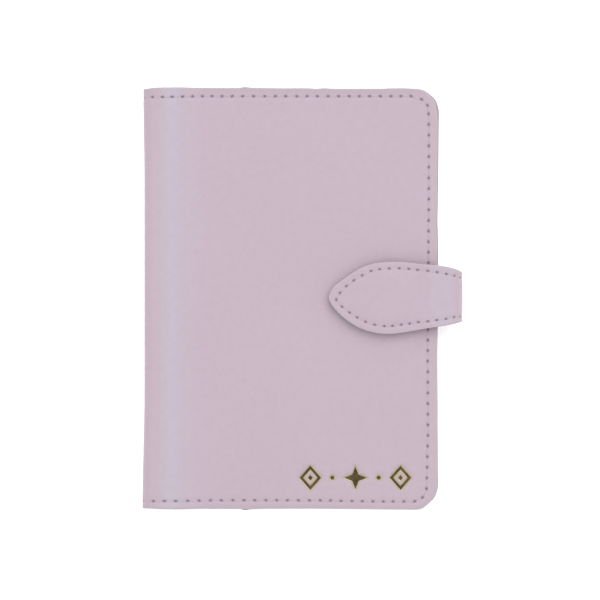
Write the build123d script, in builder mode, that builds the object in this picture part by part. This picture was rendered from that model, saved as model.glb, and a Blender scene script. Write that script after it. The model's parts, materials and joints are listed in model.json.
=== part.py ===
from build123d import *
import math
import os

# A closed bookfold passport holder lying on its back cover.
# Frame: +Z up out of the front cover, +X away from the spine, +Y towards the holder's top edge.
# Origin: centre of the back cover's outer face, which is the plane z = 0. Millimetres.

# ---- cover ----
COVER_W = 97.5  # spine fold to fore-edge, closed
COVER_L = 140.0  # top to bottom
CORNER_R = 7.0  # the two fore-edge corners of each cover
T_LEATHER = 1.2  # outer hide
T_CORE = 0.8  # bonded-leather reinforcement, sewn through
T_LINING = 0.4
T_POCKET = 0.6  # room for a passport's cover board in each sleeve
T_SLEEVE = 0.8
BOOK_GAP = 4.4  # room for the passport's pages between the sleeves
INSET = 0.3  # linings and cores stop this far inside the cut edge

# ---- spine folds ----
FOLD_R = 3.2  # outer radius of each fold
FOLD_GAP = 0.1  # half the slot between two bodies at a fold

# ---- sleeves ----
MOUTH_X = -28.0  # sleeve mouth, where the passport's cover slides in
BORDER_W = 5.0  # sewn-down border of each sleeve
THUMB_R = 13.0
THUMB_DEPTH = 5.5

# ---- strap ----
STRAP_Y = 0.5  # strap axis
T_STRAP_OUT = 1.0
T_STRAP_LIN = 0.8
STRAP_HALF = 7.8  # half width over the lower half of the loop
LOOP_OUT = 8.1  # how far the loop stands out from the fore-edge
TAIL_DEPTH = 15.0  # strap tail between cover and lining
TAB_GAP = 2.4  # tab underside over the front cover
LINKS = 4  # fold points around the loop, 45 degrees each

# ---- snap ----
SNAP_X = 31.0
SNAP_R = 7.0
SNAP_H = 1.8
SOCKET_R = 2.7
STUD_R = 2.2

# ---- stitches ----
SEAM_TOP, SEAM_RIGHT, SEAM_BOTTOM = 2.7, 3.1, 2.4
PITCH = 3.5
STRAP_SEAM = 2.3
STRAP_PITCH = 3.1
THREAD_W = 0.5
THREAD_D = 0.35

X0, X1 = -COVER_W / 2, COVER_W / 2
Y1 = COVER_L / 2
Z1 = T_LEATHER
Z2 = Z1 + T_CORE
Z3 = Z2 + T_LINING
Z4 = Z3 + T_POCKET
Z5 = Z4 + T_SLEEVE
H = 2 * Z5 + BOOK_GAP
XC = X0 + FOLD_R  # centre line of both folds
FOLD_IN = FOLD_R - T_LEATHER
FOLD_MID = (FOLD_R + FOLD_IN) / 2
FOLD_RHO = FOLD_MID * (math.pi / 2) / (2 * math.sin(math.pi / 4))

TAB_Z0 = H + TAB_GAP
TAB_Z1 = TAB_Z0 + T_STRAP_LIN
TAB_Z2 = TAB_Z1 + T_STRAP_OUT
LOOP_R = (TAB_Z2 - Z1) / 2
LOOP_RM = LOOP_R - T_STRAP_OUT
LOOP_RI = LOOP_RM - T_STRAP_LIN
LOOP_X = X1 + LOOP_OUT - LOOP_R
LOOP_Z = Z1 + LOOP_R
LOOP_STEP = 180.0 / LINKS
LOOP_MID = (LOOP_R + LOOP_RI) / 2
LOOP_RHO = LOOP_MID * math.radians(LOOP_STEP) / (2 * math.sin(math.radians(LOOP_STEP) / 2))

# half width of the tab against x, from its tip to the outermost point of the loop
TAB_UPPER = [
    (12.95, 2.3), (14.1, 3.9), (16.1, 5.45), (18.1, 6.9), (20.1, 8.25), (22.1, 9.45),
    (24.1, 10.4), (26.1, 11.05), (28.1, 11.5), (30.1, 11.75), (32.1, 11.88), (34.1, 11.9),
    (36.1, 11.84), (38.1, 11.7), (40.1, 11.48), (42.1, 11.25), (44.1, 11.05), (46.1, 10.85),
    (48.75, 10.55), (51.4, 10.05), (54.0, 9.4), (57.0, 8.4),
]
TAB_LOWER = [
    (12.95, 2.1), (14.1, 3.65), (16.1, 5.75), (18.1, 7.4), (20.1, 8.8), (22.1, 9.9),
    (24.1, 10.7), (26.1, 11.3), (28.1, 11.75), (30.1, 12.0), (32.1, 12.05), (34.1, 11.95),
    (36.1, 11.7), (38.1, 11.38), (40.1, 11.02), (42.1, 10.65), (44.1, 10.3), (46.1, 9.97),
    (48.75, 9.6), (51.4, 9.22), (54.0, 8.75), (57.0, 8.1),
]
TAB_TIP = 12.2

os.makedirs("parts", exist_ok=True)
made = []


def keep(builder, name):
    builder.part.label = name
    made.append(name)
    export_step(builder.part, f"parts/{name}.step")


def polar(cx, cz, r, degrees):
    """A point at an angle from the downward direction, turning towards +X: 0 is below the centre, 90 is right."""
    a = math.radians(degrees)
    return (cx + r * math.sin(a), cz - r * math.cos(a))


def panel_outline(inset, x_left):
    """Plan outline of a cover layer: square at the spine, rounded at the fore-edge."""
    r = CORNER_R - inset
    xr, yt = X1 - inset, Y1 - inset
    with BuildSketch(Plane.XY) as sk:
        with BuildLine():
            Line((x_left, -yt), (xr - r, -yt))
            RadiusArc((xr - r, -yt), (xr, -yt + r), -r)
            Line((xr, -yt + r), (xr, yt - r))
            RadiusArc((xr, yt - r), (xr - r, yt), -r)
            Line((xr - r, yt), (x_left, yt))
            Line((x_left, yt), (x_left, -yt))
        make_face()
    return sk.sketch


def sector(cx, cz, r_in, r_out, a0, a1):
    """Ring sector in the XZ plane as a closed outline, angles as in polar()."""
    am = (a0 + a1) / 2
    ThreePointArc(polar(cx, cz, r_out, a0), polar(cx, cz, r_out, am), polar(cx, cz, r_out, a1))
    Line(polar(cx, cz, r_out, a1), polar(cx, cz, r_in, a1))
    ThreePointArc(polar(cx, cz, r_in, a1), polar(cx, cz, r_in, am), polar(cx, cz, r_in, a0))
    Line(polar(cx, cz, r_in, a0), polar(cx, cz, r_out, a0))


def relief(cx, cz, angle, rho, r_in, r_out, gap, half):
    """Clearance between two bodies at a fold: a thin slot inside the pivot and a V outside it."""
    k = r_out - rho + 0.5
    w = gap + k * math.tan(math.radians(half))
    u0, u1, u2 = r_in - 0.4, rho - 0.12, rho - 0.12 + k
    pts = []
    for u, v in [(u0, -gap), (u1, -gap), (u2, -w), (u2, w), (u1, gap), (u0, gap)]:
        a = math.radians(angle)
        ux, uz = math.sin(a), -math.cos(a)
        vx, vz = math.cos(a), math.sin(a)
        pts.append((cx + u * ux + v * vx, cz + u * uz + v * vz))
    Polyline(*pts, close=True)


# XZ sketches: the plane's local y is +Z, and its normal is -Y
XZ = Plane.XZ


def xz_prism(draw_list, cut_list, half, centre_y=0.0):
    """Extrude XZ outlines to +-half along Y about centre_y. Each item is a function that draws one closed outline."""
    with BuildPart() as bp:
        with BuildSketch(Plane(origin=(0, centre_y, 0), x_dir=(1, 0, 0), z_dir=(0, -1, 0))):
            for draw in draw_list:
                with BuildLine():
                    draw()
                make_face()
            for draw in cut_list:
                with BuildLine(mode=Mode.PRIVATE) as cl:
                    draw()
                make_face(cl.edges(), mode=Mode.SUBTRACT)
        extrude(amount=half, both=True)
    return bp.part


# ------------------------------------------------------------------ back cover
fold_cut_back = lambda: relief(XC, FOLD_R, -45, FOLD_RHO, FOLD_IN, FOLD_R, FOLD_GAP, 48)
fold_cut_front = lambda: relief(XC, H - FOLD_R, -135, FOLD_RHO, FOLD_IN, FOLD_R, FOLD_GAP, 48)
back_lip = xz_prism([lambda: sector(XC, FOLD_R, FOLD_IN, FOLD_R, -45, 0)], [fold_cut_back], Y1)
front_lip = xz_prism([lambda: sector(XC, H - FOLD_R, FOLD_IN, FOLD_R, -180, -135)], [fold_cut_front], Y1)

with BuildPart() as back_leather:
    with BuildSketch(Plane.XY):
        add(panel_outline(0, XC))
    extrude(amount=T_LEATHER)
    add(back_lip)
keep(back_leather, "back_leather")

with BuildPart() as back_core:
    with BuildSketch(Plane.XY.offset(Z1)):
        add(panel_outline(INSET, XC + 1.0))
        with Locations((X1 - TAIL_DEPTH / 2, STRAP_Y)):
            Rectangle(TAIL_DEPTH + 0.3, 2 * STRAP_HALF + 0.3, mode=Mode.SUBTRACT)
    extrude(amount=T_CORE)
keep(back_core, "back_core")

with BuildPart() as back_lining:
    with BuildSketch(Plane.XY.offset(Z2)):
        add(panel_outline(INSET, XC + 0.6))
    extrude(amount=T_LINING)
keep(back_lining, "back_lining")


def sleeve_outline():
    with BuildSketch(Plane.XY) as sk:
        add(panel_outline(INSET, MOUTH_X))
        with Locations((MOUTH_X - THUMB_R + THUMB_DEPTH, 0)):
            Circle(THUMB_R, mode=Mode.SUBTRACT)
    return sk.sketch


def border_outline():
    r = CORNER_R - BORDER_W
    with BuildSketch(Plane.XY) as sk:
        add(panel_outline(INSET, MOUTH_X))
        with Locations((MOUTH_X - 10 + (X1 - BORDER_W - MOUTH_X + 10) / 2, 0)):
            Rectangle(X1 - BORDER_W - MOUTH_X + 10, COVER_L - 2 * BORDER_W, mode=Mode.SUBTRACT)
    return sk.sketch


with BuildPart() as back_sleeve_border:
    with BuildSketch(Plane.XY.offset(Z3)):
        add(border_outline())
    extrude(amount=T_POCKET)
keep(back_sleeve_border, "back_sleeve_border")

with BuildPart() as back_sleeve:
    with BuildSketch(Plane.XY.offset(Z4)):
        add(sleeve_outline())
    extrude(amount=T_SLEEVE)
keep(back_sleeve, "back_sleeve")

# ----------------------------------------------------------------------- spine
with BuildPart() as spine_leather:
    with BuildSketch(XZ):
        with BuildLine():
            Polyline((X0, FOLD_R), (X0 + T_LEATHER, FOLD_R), (X0 + T_LEATHER, H - FOLD_R), (X0, H - FOLD_R), close=True)
        make_face()
        with BuildLine():
            sector(XC, FOLD_R, FOLD_IN, FOLD_R, -90, -45)
        make_face()
        with BuildLine():
            sector(XC, H - FOLD_R, FOLD_IN, FOLD_R, -135, -90)
        make_face()
        with BuildLine(mode=Mode.PRIVATE) as low:
            fold_cut_back()
        make_face(low.edges(), mode=Mode.SUBTRACT)
        with BuildLine(mode=Mode.PRIVATE) as high:
            fold_cut_front()
        make_face(high.edges(), mode=Mode.SUBTRACT)
    extrude(amount=Y1, both=True)
keep(spine_leather, "spine_leather")

with BuildPart() as spine_lining:
    with BuildSketch(Plane.YZ.offset(X0 + T_LEATHER)):
        with Locations((0, H / 2)):
            Rectangle(COVER_L - 2 * INSET, H - 2 * FOLD_R - 0.2)
    extrude(amount=T_LINING)
keep(spine_lining, "spine_lining")

# ----------------------------------------------------------------- front cover
PRONG_Y = 3.6
PRONG_L = 2.8
PRONG_T = 0.45

with BuildPart() as front_leather:
    with BuildSketch(Plane.XY.offset(H - Z1)):
        add(panel_outline(0, XC))
        with Locations((SNAP_X, STRAP_Y + PRONG_Y), (SNAP_X, STRAP_Y - PRONG_Y)):
            Rectangle(PRONG_L + 0.2, PRONG_T + 0.2, mode=Mode.SUBTRACT)
    extrude(amount=T_LEATHER)
    add(front_lip)
keep(front_leather, "front_leather")

with BuildPart() as front_core:
    with BuildSketch(Plane.XY.offset(H - Z2)):
        add(panel_outline(INSET, XC + 1.0))
        with Locations((SNAP_X, STRAP_Y)):
            Circle(SNAP_R + 0.3, mode=Mode.SUBTRACT)
    extrude(amount=T_CORE)
keep(front_core, "front_core")

with BuildPart() as front_lining:
    with BuildSketch(Plane.XY.offset(H - Z3)):
        add(panel_outline(INSET, XC + 0.6))
    extrude(amount=T_LINING)
keep(front_lining, "front_lining")

with BuildPart() as front_sleeve_border:
    with BuildSketch(Plane.XY.offset(H - Z4)):
        add(border_outline())
    extrude(amount=T_POCKET)
keep(front_sleeve_border, "front_sleeve_border")

with BuildPart() as front_sleeve:
    with BuildSketch(Plane.XY.offset(H - Z5)):
        add(sleeve_outline())
    extrude(amount=T_SLEEVE)
keep(front_sleeve, "front_sleeve")

# stamped foil: two open lozenges, a four-pointed star and two round points
FOIL_T = 0.05
FOIL_Y = -59.4
with BuildPart() as foil_ornament:
    with BuildSketch(Plane.XY.offset(H)):
        for x in (6.1, 36.1):
            with BuildLine():
                Polyline((x - 3.9, FOIL_Y), (x, FOIL_Y - 4.4), (x + 3.9, FOIL_Y), (x, FOIL_Y + 4.4), close=True)
            make_face()
            with BuildLine(mode=Mode.PRIVATE) as inner:
                Polyline((x - 2.1, FOIL_Y), (x, FOIL_Y - 2.4), (x + 2.1, FOIL_Y), (x, FOIL_Y + 2.4), close=True)
            make_face(inner.edges(), mode=Mode.SUBTRACT)
            with BuildLine():
                Polyline((x - 1.1, FOIL_Y), (x, FOIL_Y - 1.3), (x + 1.1, FOIL_Y), (x, FOIL_Y + 1.3), close=True)
            make_face()
        star = []
        for i in range(8):
            r = 4.4 if i % 2 == 0 else 1.75
            a = math.radians(90 + 45 * i)
            star.append((21.1 + r * math.cos(a), FOIL_Y + r * math.sin(a)))
        with BuildLine():
            Polyline(*star, close=True)
        make_face()
        with Locations((13.4, FOIL_Y), (28.8, FOIL_Y)):
            Circle(0.9)
    extrude(amount=FOIL_T)
keep(foil_ornament, "foil_ornament")

# ------------------------------------------------------------------------ snap
with BuildPart() as snap_socket_cap:
    with BuildSketch(Plane(origin=(SNAP_X, STRAP_Y, H), x_dir=(1, 0, 0), z_dir=(0, -1, 0))):
        with BuildLine():
            Line((SNAP_R - 0.4, 0), (SNAP_R, 0))
            Line((SNAP_R, 0), (SNAP_R, SNAP_H - 0.5))
            RadiusArc((SNAP_R, SNAP_H - 0.5), (SNAP_R - 0.5, SNAP_H), -0.5)
            Line((SNAP_R - 0.5, SNAP_H), (SOCKET_R + 0.2, SNAP_H))
            RadiusArc((SOCKET_R + 0.2, SNAP_H), (SOCKET_R, SNAP_H - 0.2), -0.2)
            Line((SOCKET_R, SNAP_H - 0.2), (SOCKET_R, SNAP_H - 0.4))
            Line((SOCKET_R, SNAP_H - 0.4), (SNAP_R - 0.4, SNAP_H - 0.4))
            Line((SNAP_R - 0.4, SNAP_H - 0.4), (SNAP_R - 0.4, 0))
        make_face()
    revolve(axis=Axis((SNAP_X, STRAP_Y, 0), (0, 0, 1)))
keep(snap_socket_cap, "snap_socket_cap")

with BuildPart() as snap_magnet:
    with BuildSketch(Plane.XY.offset(H + 0.3)):
        with Locations((SNAP_X, STRAP_Y)):
            Circle(SNAP_R - 0.45)
            Circle(SOCKET_R + 0.05, mode=Mode.SUBTRACT)
    extrude(amount=SNAP_H - 0.4 - 0.3)
keep(snap_magnet, "snap_magnet")

with BuildPart() as snap_socket_base:
    with BuildSketch(Plane.XY.offset(H)):
        with Locations((SNAP_X, STRAP_Y)):
            Circle(SNAP_R - 0.45)
    extrude(amount=0.3)
    with BuildSketch(Plane.XY.offset(H)):
        with Locations((SNAP_X, STRAP_Y + PRONG_Y), (SNAP_X, STRAP_Y - PRONG_Y)):
            Rectangle(PRONG_L, PRONG_T)
    extrude(amount=-(T_LEATHER + 0.4 + 0.3))
    with BuildSketch(Plane.XY.offset(H - T_LEATHER - 0.4)):
        with Locations((SNAP_X, STRAP_Y + PRONG_Y + 1.2), (SNAP_X, STRAP_Y - PRONG_Y - 1.2)):
            Rectangle(PRONG_L, PRONG_T + 2.4)
    extrude(amount=-0.3)
keep(snap_socket_base, "snap_socket_base")

with BuildPart() as snap_socket_washer:
    with BuildSketch(Plane.XY.offset(H - T_LEATHER)):
        with Locations((SNAP_X, STRAP_Y)):
            Circle(6.5)
            Circle(1.8, mode=Mode.SUBTRACT)
        with Locations((SNAP_X, STRAP_Y + PRONG_Y), (SNAP_X, STRAP_Y - PRONG_Y)):
            Rectangle(PRONG_L + 0.2, PRONG_T + 0.2, mode=Mode.SUBTRACT)
    extrude(amount=-0.4)
keep(snap_socket_washer, "snap_socket_washer")

STUD_Z = H + SNAP_H + 0.05
with BuildPart() as snap_stud:
    with BuildSketch(Plane.XY.offset(STUD_Z)):
        with Locations((SNAP_X, STRAP_Y)):
            Circle(6.5)
    extrude(amount=TAB_Z0 - STUD_Z)
    with BuildSketch(Plane.XY.offset(STUD_Z)):
        with Locations((SNAP_X, STRAP_Y)):
            Circle(STUD_R)
    extrude(amount=-(SNAP_H + 0.05 - 0.42))
    chamfer(faces().sort_by(Axis.Z)[0].edges(), 0.4)
    with BuildSketch(Plane.XY.offset(TAB_Z0)):
        with Locations((SNAP_X, STRAP_Y + PRONG_Y), (SNAP_X, STRAP_Y - PRONG_Y)):
            Rectangle(PRONG_L, PRONG_T)
    extrude(amount=T_STRAP_LIN + 0.2 + 0.2)
    with BuildSketch(Plane.XY.offset(TAB_Z1 + 0.2)):
        with Locations((SNAP_X, STRAP_Y + PRONG_Y - 1.0), (SNAP_X, STRAP_Y - PRONG_Y + 1.0)):
            Rectangle(PRONG_L, PRONG_T + 2.0)
    extrude(amount=0.2)
keep(snap_stud, "snap_stud")

with BuildPart() as snap_stud_washer:
    with BuildSketch(Plane.XY.offset(TAB_Z1)):
        with Locations((SNAP_X, STRAP_Y)):
            Circle(5.5)
        with Locations((SNAP_X, STRAP_Y + PRONG_Y), (SNAP_X, STRAP_Y - PRONG_Y)):
            Rectangle(PRONG_L + 0.2, PRONG_T + 0.2, mode=Mode.SUBTRACT)
    extrude(amount=0.2)
keep(snap_stud_washer, "snap_stud_washer")


# ----------------------------------------------------------------------- strap
def tab_outline(x_end):
    """Plan outline of the tab and the upper half of the loop, cut off at x_end."""
    pts = [(x, STRAP_Y + w) for x, w in TAB_UPPER]
    low = [(x, STRAP_Y - w) for x, w in reversed(TAB_LOWER)]
    with BuildSketch(Plane.XY) as sk:
        with BuildLine():
            Spline(*pts)
            Line(pts[-1], (pts[-1][0] + 1.0, pts[-1][1]))
            Line((pts[-1][0] + 1.0, pts[-1][1]), (low[0][0] + 1.0, low[0][1]))
            Line((low[0][0] + 1.0, low[0][1]), low[0])
            Spline(*low)
            ThreePointArc(low[-1], (TAB_TIP, STRAP_Y), pts[0])
        make_face()
        with Locations((x_end + 20, STRAP_Y)):
            Rectangle(40, 60, mode=Mode.SUBTRACT)
    return sk.sketch


def loop_cut(k):
    """Clearance at fold point k, from 0 at the cover's edge to LINKS - 1 at the tab."""
    return lambda: relief(LOOP_X, LOOP_Z, LOOP_STEP * (k + 0.5), LOOP_RHO, LOOP_RI, LOOP_R, 0.08, LOOP_STEP / 2 + 2)


def loop_piece(r_in, r_out, a0, a1, cuts):
    """One stretch of the loop. Above the middle its width follows the tab's outline."""
    draw = [lambda: sector(LOOP_X, LOOP_Z, r_in, r_out, a0, a1)]
    body = xz_prism(draw, [loop_cut(k) for k in cuts], STRAP_HALF + 4, STRAP_Y)
    with BuildPart() as bp:
        add(body)
        with BuildPart(mode=Mode.PRIVATE) as plan:
            with BuildSketch(Plane.XY.offset(LOOP_Z)):
                add(tab_outline(X1 + 40))
            extrude(amount=LOOP_R + 1)
            with BuildSketch(Plane.XY.offset(LOOP_Z)):
                with Locations((LOOP_X, STRAP_Y)):
                    Rectangle(40, 2 * STRAP_HALF)
            extrude(amount=-(LOOP_R + 1))
        add(plan.part, mode=Mode.INTERSECT)
    return bp.part


def a_of(k):
    return LOOP_STEP * (k + 0.5)


root_out = loop_piece(LOOP_RM, LOOP_R, 0, a_of(0), [0])
root_lin = loop_piece(LOOP_RI, LOOP_RM, 0, a_of(0), [0])
with BuildPart() as strap_tail:
    with BuildSketch(Plane.XY.offset(Z1)):
        with Locations(((X1 - TAIL_DEPTH + LOOP_X) / 2, STRAP_Y)):
            Rectangle(LOOP_X - X1 + TAIL_DEPTH, 2 * STRAP_HALF)
    extrude(amount=T_CORE)
    with BuildSketch(Plane.XY.offset(Z1)):
        with Locations(((X1 + 0.1 + LOOP_X) / 2, STRAP_Y)):
            Rectangle(LOOP_X - X1 - 0.1, 2 * STRAP_HALF)
    extrude(amount=T_STRAP_OUT)
    add(root_out)
keep(strap_tail, "strap_tail")

with BuildPart() as strap_root_lining:
    with BuildSketch(Plane.XY.offset(Z1 + T_STRAP_OUT)):
        with Locations(((X1 + 0.2 + LOOP_X) / 2, STRAP_Y)):
            Rectangle(LOOP_X - X1 - 0.2, 2 * STRAP_HALF)
    extrude(amount=T_STRAP_LIN)
    add(root_lin)
keep(strap_root_lining, "strap_root_lining")

for k in range(LINKS - 1):
    with BuildPart() as link_out:
        add(loop_piece(LOOP_RM, LOOP_R, a_of(k), a_of(k + 1), [k, k + 1]))
    keep(link_out, f"strap_loop_{k + 1}_outer")
    with BuildPart() as link_lin:
        add(loop_piece(LOOP_RI, LOOP_RM, a_of(k), a_of(k + 1), [k, k + 1]))
    keep(link_lin, f"strap_loop_{k + 1}_lining")

end_out = loop_piece(LOOP_RM, LOOP_R, a_of(LINKS - 1), 180, [LINKS - 1])
end_lin = loop_piece(LOOP_RI, LOOP_RM, a_of(LINKS - 1), 180, [LINKS - 1])
with BuildPart() as strap_tab_outer:
    with BuildSketch(Plane.XY.offset(TAB_Z1)):
        add(tab_outline(LOOP_X))
    extrude(amount=T_STRAP_OUT)
    with BuildSketch(Plane.XY.offset(TAB_Z1)):
        with Locations((SNAP_X, STRAP_Y)):
            Circle(6.0)
    extrude(amount=0.4, mode=Mode.SUBTRACT)
    add(end_out)
keep(strap_tab_outer, "strap_tab_outer")

with BuildPart() as strap_tab_lining:
    with BuildSketch(Plane.XY.offset(TAB_Z0)):
        add(tab_outline(LOOP_X))
        with Locations((SNAP_X, STRAP_Y + PRONG_Y), (SNAP_X, STRAP_Y - PRONG_Y)):
            Rectangle(PRONG_L + 0.2, PRONG_T + 0.2, mode=Mode.SUBTRACT)
    extrude(amount=T_STRAP_LIN)
    add(end_lin)
keep(strap_tab_lining, "strap_tab_lining")


# --------------------------------------------------------------------- threads
def stitch(depth, length, width=THREAD_W):
    """One stitch: a run along the face, a leg through the layers and a run along the far face. Local +Z is out of the face, local X along the seam."""
    d, w = THREAD_D, 0.45
    a = length / 2
    with BuildPart() as s:
        with BuildSketch(Plane.XZ):
            with BuildLine():
                Polyline(
                    (-a, 0), (a, 0), (a, -d), (-a + w, -d), (-a + w, -depth), (-a - length + w + 0.6, -depth),
                    (-a - length + w + 0.6, -depth + d), (-a, -depth + d), close=True,
                )
            make_face()
        extrude(amount=width / 2, both=True)
    return s.part


def along(points, pitch, start=0.0):
    """Evenly spaced (x, y, direction) down a polyline."""
    out, travelled, nxt = [], 0.0, start
    for (xa, ya), (xb, yb) in zip(points, points[1:]):
        seg = math.hypot(xb - xa, yb - ya)
        while seg > 0 and nxt <= travelled + seg:
            f = (nxt - travelled) / seg
            out.append((xa + f * (xb - xa), ya + f * (yb - ya), math.atan2(yb - ya, xb - xa)))
            nxt += pitch
        travelled += seg
    return out


def seam_points():
    """The seam of a cover: from the spine along the top, down the fore-edge and back along the bottom."""
    r = 4.4
    yt, yb, xr = Y1 - SEAM_TOP, -Y1 + SEAM_BOTTOM, X1 - SEAM_RIGHT
    pts = [(XC + 1.6, yt)]
    pts += [(xr - r + r * math.sin(math.radians(a)), yt - r + r * math.cos(math.radians(a))) for a in range(0, 91, 10)]
    pts += [(xr - r + r * math.cos(math.radians(a)), yb + r - r * math.sin(math.radians(a))) for a in range(0, 91, 10)]
    pts += [(XC + 1.6, yb)]
    return pts


def place_stitches(items):
    """items: (solid, x, y, z, x direction, outward normal)."""
    with BuildPart() as bp:
        for solid, x, y, z, xd, n in items:
            add(solid.moved(Location(Plane(origin=(x, y, z), x_dir=xd, z_dir=n))))
    return bp


deep, shallow = stitch(Z5, 2.5), stitch(Z3, 2.5)
back_items, front_items = [], []
for x, y, a in along(seam_points(), PITCH, 1.2):
    d = (math.cos(a), math.sin(a), 0)
    kind = deep if x > MOUTH_X + 3 else shallow
    back_items.append((kind, x, y, 0, d, (0, 0, -1)))
    front_items.append((kind, x, y, H, d, (0, 0, 1)))
back_thread = place_stitches(back_items)
keep(back_thread, "back_edge_thread")
front_thread = place_stitches(front_items)
keep(front_thread, "front_edge_thread")

spine_stitch = stitch(T_LEATHER + T_LINING, 1.9)
spine_items = []
for y in (Y1 - SEAM_TOP, -Y1 + SEAM_BOTTOM):
    for z in (H / 2 - 1.1, H / 2 + 1.6):
        spine_items.append((spine_stitch, X0, y, z, (0, 0, 1), (-1, 0, 0)))
spine_thread = place_stitches(spine_items)
keep(spine_thread, "spine_thread")

anchor = stitch(Z3, 2.3)
anchor_items = []
ax0, ax1, ah = X1 - TAIL_DEPTH + 2.0, X1 - 6.0, STRAP_HALF - 2.0
for x, y, a in along([(ax1, STRAP_Y + ah), (ax0, STRAP_Y + ah), (ax0, STRAP_Y - ah), (ax1, STRAP_Y - ah)], 3.0, 1.6):
    anchor_items.append((anchor, x, y, 0, (math.cos(a), math.sin(a), 0), (0, 0, -1)))
anchor_thread = place_stitches(anchor_items)
keep(anchor_thread, "strap_anchor_thread")

# tab stitches follow its outline, inset; loop stitches stand two to a link on each side
T_STRAP = T_STRAP_OUT + T_STRAP_LIN
tab_stitch = stitch(T_STRAP, 2.1, 0.45)


def inset_outline(outline, d):
    pts = [(x, w) for x, w in outline if x < LOOP_X]
    inner = []
    for i, (x, w) in enumerate(pts):
        xa, wa = pts[max(i - 1, 0)]
        xb, wb = pts[min(i + 1, len(pts) - 1)]
        t = math.atan2(wb - wa, xb - xa)
        nx, nw = x + d * math.sin(t), w - d * math.cos(t)
        if nw > 0.9:
            inner.append((nx, nw))
    return inner


upper, lower = inset_outline(TAB_UPPER, STRAP_SEAM), inset_outline(TAB_LOWER, STRAP_SEAM)
seam = [(x, STRAP_Y + w) for x, w in reversed(upper)] + [(TAB_TIP + 2.7, STRAP_Y)] + [(x, STRAP_Y - w) for x, w in lower]
tab_items = []
for x, y, a in along(seam, STRAP_PITCH, 2.4):
    if x < LOOP_X - 1.2:
        tab_items.append((tab_stitch, x, y, TAB_Z2, (math.cos(a), math.sin(a), 0), (0, 0, 1)))
tab_thread = place_stitches(tab_items)
keep(tab_thread, "strap_tab_thread")

loop_stitch = stitch(T_STRAP, 1.3, 0.45)
for k in range(LINKS - 1):
    items = []
    for frac in (0.27, 0.73):
        phi = a_of(k) + frac * LOOP_STEP
        px, pz = polar(LOOP_X, LOOP_Z, LOOP_R - 0.03, phi)
        a = math.radians(phi)
        half = STRAP_HALF
        if phi > 90:
            half = STRAP_HALF + (10.15 - STRAP_HALF) * (1 - math.sin(a))
        for s in (1, -1):
            items.append((loop_stitch, px, STRAP_Y + s * (half - STRAP_SEAM), pz, (math.cos(a), 0, math.sin(a)), (math.sin(a), 0, -math.cos(a))))
    loop_thread = place_stitches(items)
    keep(loop_thread, f"strap_loop_{k + 1}_thread")

print("nodes", len(made), "H", H, "fold rho", round(FOLD_RHO, 3), "loop", round(LOOP_X, 3), round(LOOP_Z, 3), LOOP_R, "rho", round(LOOP_RHO, 3), "top", TAB_Z2)
for k in range(LINKS):
    print("strap pivot", k, [round(v, 4) for v in polar(LOOP_X, LOOP_Z, LOOP_RHO, a_of(k))])
print("fold pivots", [round(v, 4) for v in polar(XC, FOLD_R, FOLD_RHO, -45)], [round(v, 4) for v in polar(XC, H - FOLD_R, FOLD_RHO, -135)])
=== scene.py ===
import json
import math

import bpy
import numpy as np
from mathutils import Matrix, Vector
from mathutils.geometry import delaunay_2d_cdt


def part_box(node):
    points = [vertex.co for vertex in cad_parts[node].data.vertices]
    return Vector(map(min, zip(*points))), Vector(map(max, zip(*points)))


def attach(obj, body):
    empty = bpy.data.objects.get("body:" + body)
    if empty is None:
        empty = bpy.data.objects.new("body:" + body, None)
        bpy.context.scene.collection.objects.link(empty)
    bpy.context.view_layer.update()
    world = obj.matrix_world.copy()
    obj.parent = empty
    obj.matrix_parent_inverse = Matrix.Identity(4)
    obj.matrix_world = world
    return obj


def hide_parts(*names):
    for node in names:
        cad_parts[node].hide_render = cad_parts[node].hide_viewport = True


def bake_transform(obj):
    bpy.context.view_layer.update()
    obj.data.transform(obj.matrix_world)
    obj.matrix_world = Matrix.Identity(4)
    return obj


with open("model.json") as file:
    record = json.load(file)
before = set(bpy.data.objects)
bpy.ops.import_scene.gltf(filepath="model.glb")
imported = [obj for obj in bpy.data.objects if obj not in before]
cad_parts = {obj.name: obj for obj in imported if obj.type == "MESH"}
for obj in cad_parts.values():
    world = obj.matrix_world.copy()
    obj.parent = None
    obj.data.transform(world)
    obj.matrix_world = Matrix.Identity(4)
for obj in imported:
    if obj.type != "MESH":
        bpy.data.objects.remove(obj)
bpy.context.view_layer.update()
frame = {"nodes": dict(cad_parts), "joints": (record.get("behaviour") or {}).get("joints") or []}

# ---------------------------------------------------------------- sizes, in mm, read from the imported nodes
MM = 0.001


def node_box(n):
    lo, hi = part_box(n)
    return np.array(lo) / MM, np.array(hi) / MM


lo, hi = node_box("front_leather")
X1, Y1, H = hi[0], hi[1], hi[2]
X0 = node_box("spine_leather")[0][0]
Z1 = node_box("back_core")[0][2]
Z2 = node_box("back_lining")[0][2]
Z3 = node_box("back_sleeve_border")[0][2]
Z4, Z5 = node_box("back_sleeve")[0][2], node_box("back_sleeve")[1][2]
TAB_Z0 = node_box("strap_tab_lining")[0][2]
TAB_Z2 = node_box("strap_tab_outer")[1][2]
LOOP_R = (TAB_Z2 - Z1) / 2
LOOP_X = node_box("strap_loop_2_outer")[1][0] - LOOP_R
LOOP_Z = Z1 + LOOP_R
SNAP_LO, SNAP_HI = node_box("snap_socket_cap")
SNAP_X, SNAP_Y = (SNAP_LO[0] + SNAP_HI[0]) / 2, (SNAP_LO[1] + SNAP_HI[1]) / 2
SNAP_R = (SNAP_HI[0] - SNAP_LO[0]) / 2
SNAP_TOP = SNAP_HI[2]
MOUTH_X = node_box("back_sleeve")[0][0]
TAIL_X = node_box("strap_tail")[0][0]
T_OUT, T_LIN = 1.0, 0.8
FOLD_R = 3.2
XC = X0 + FOLD_R
CORNER_R = 7.1
rng = np.random.default_rng(20)


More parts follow.
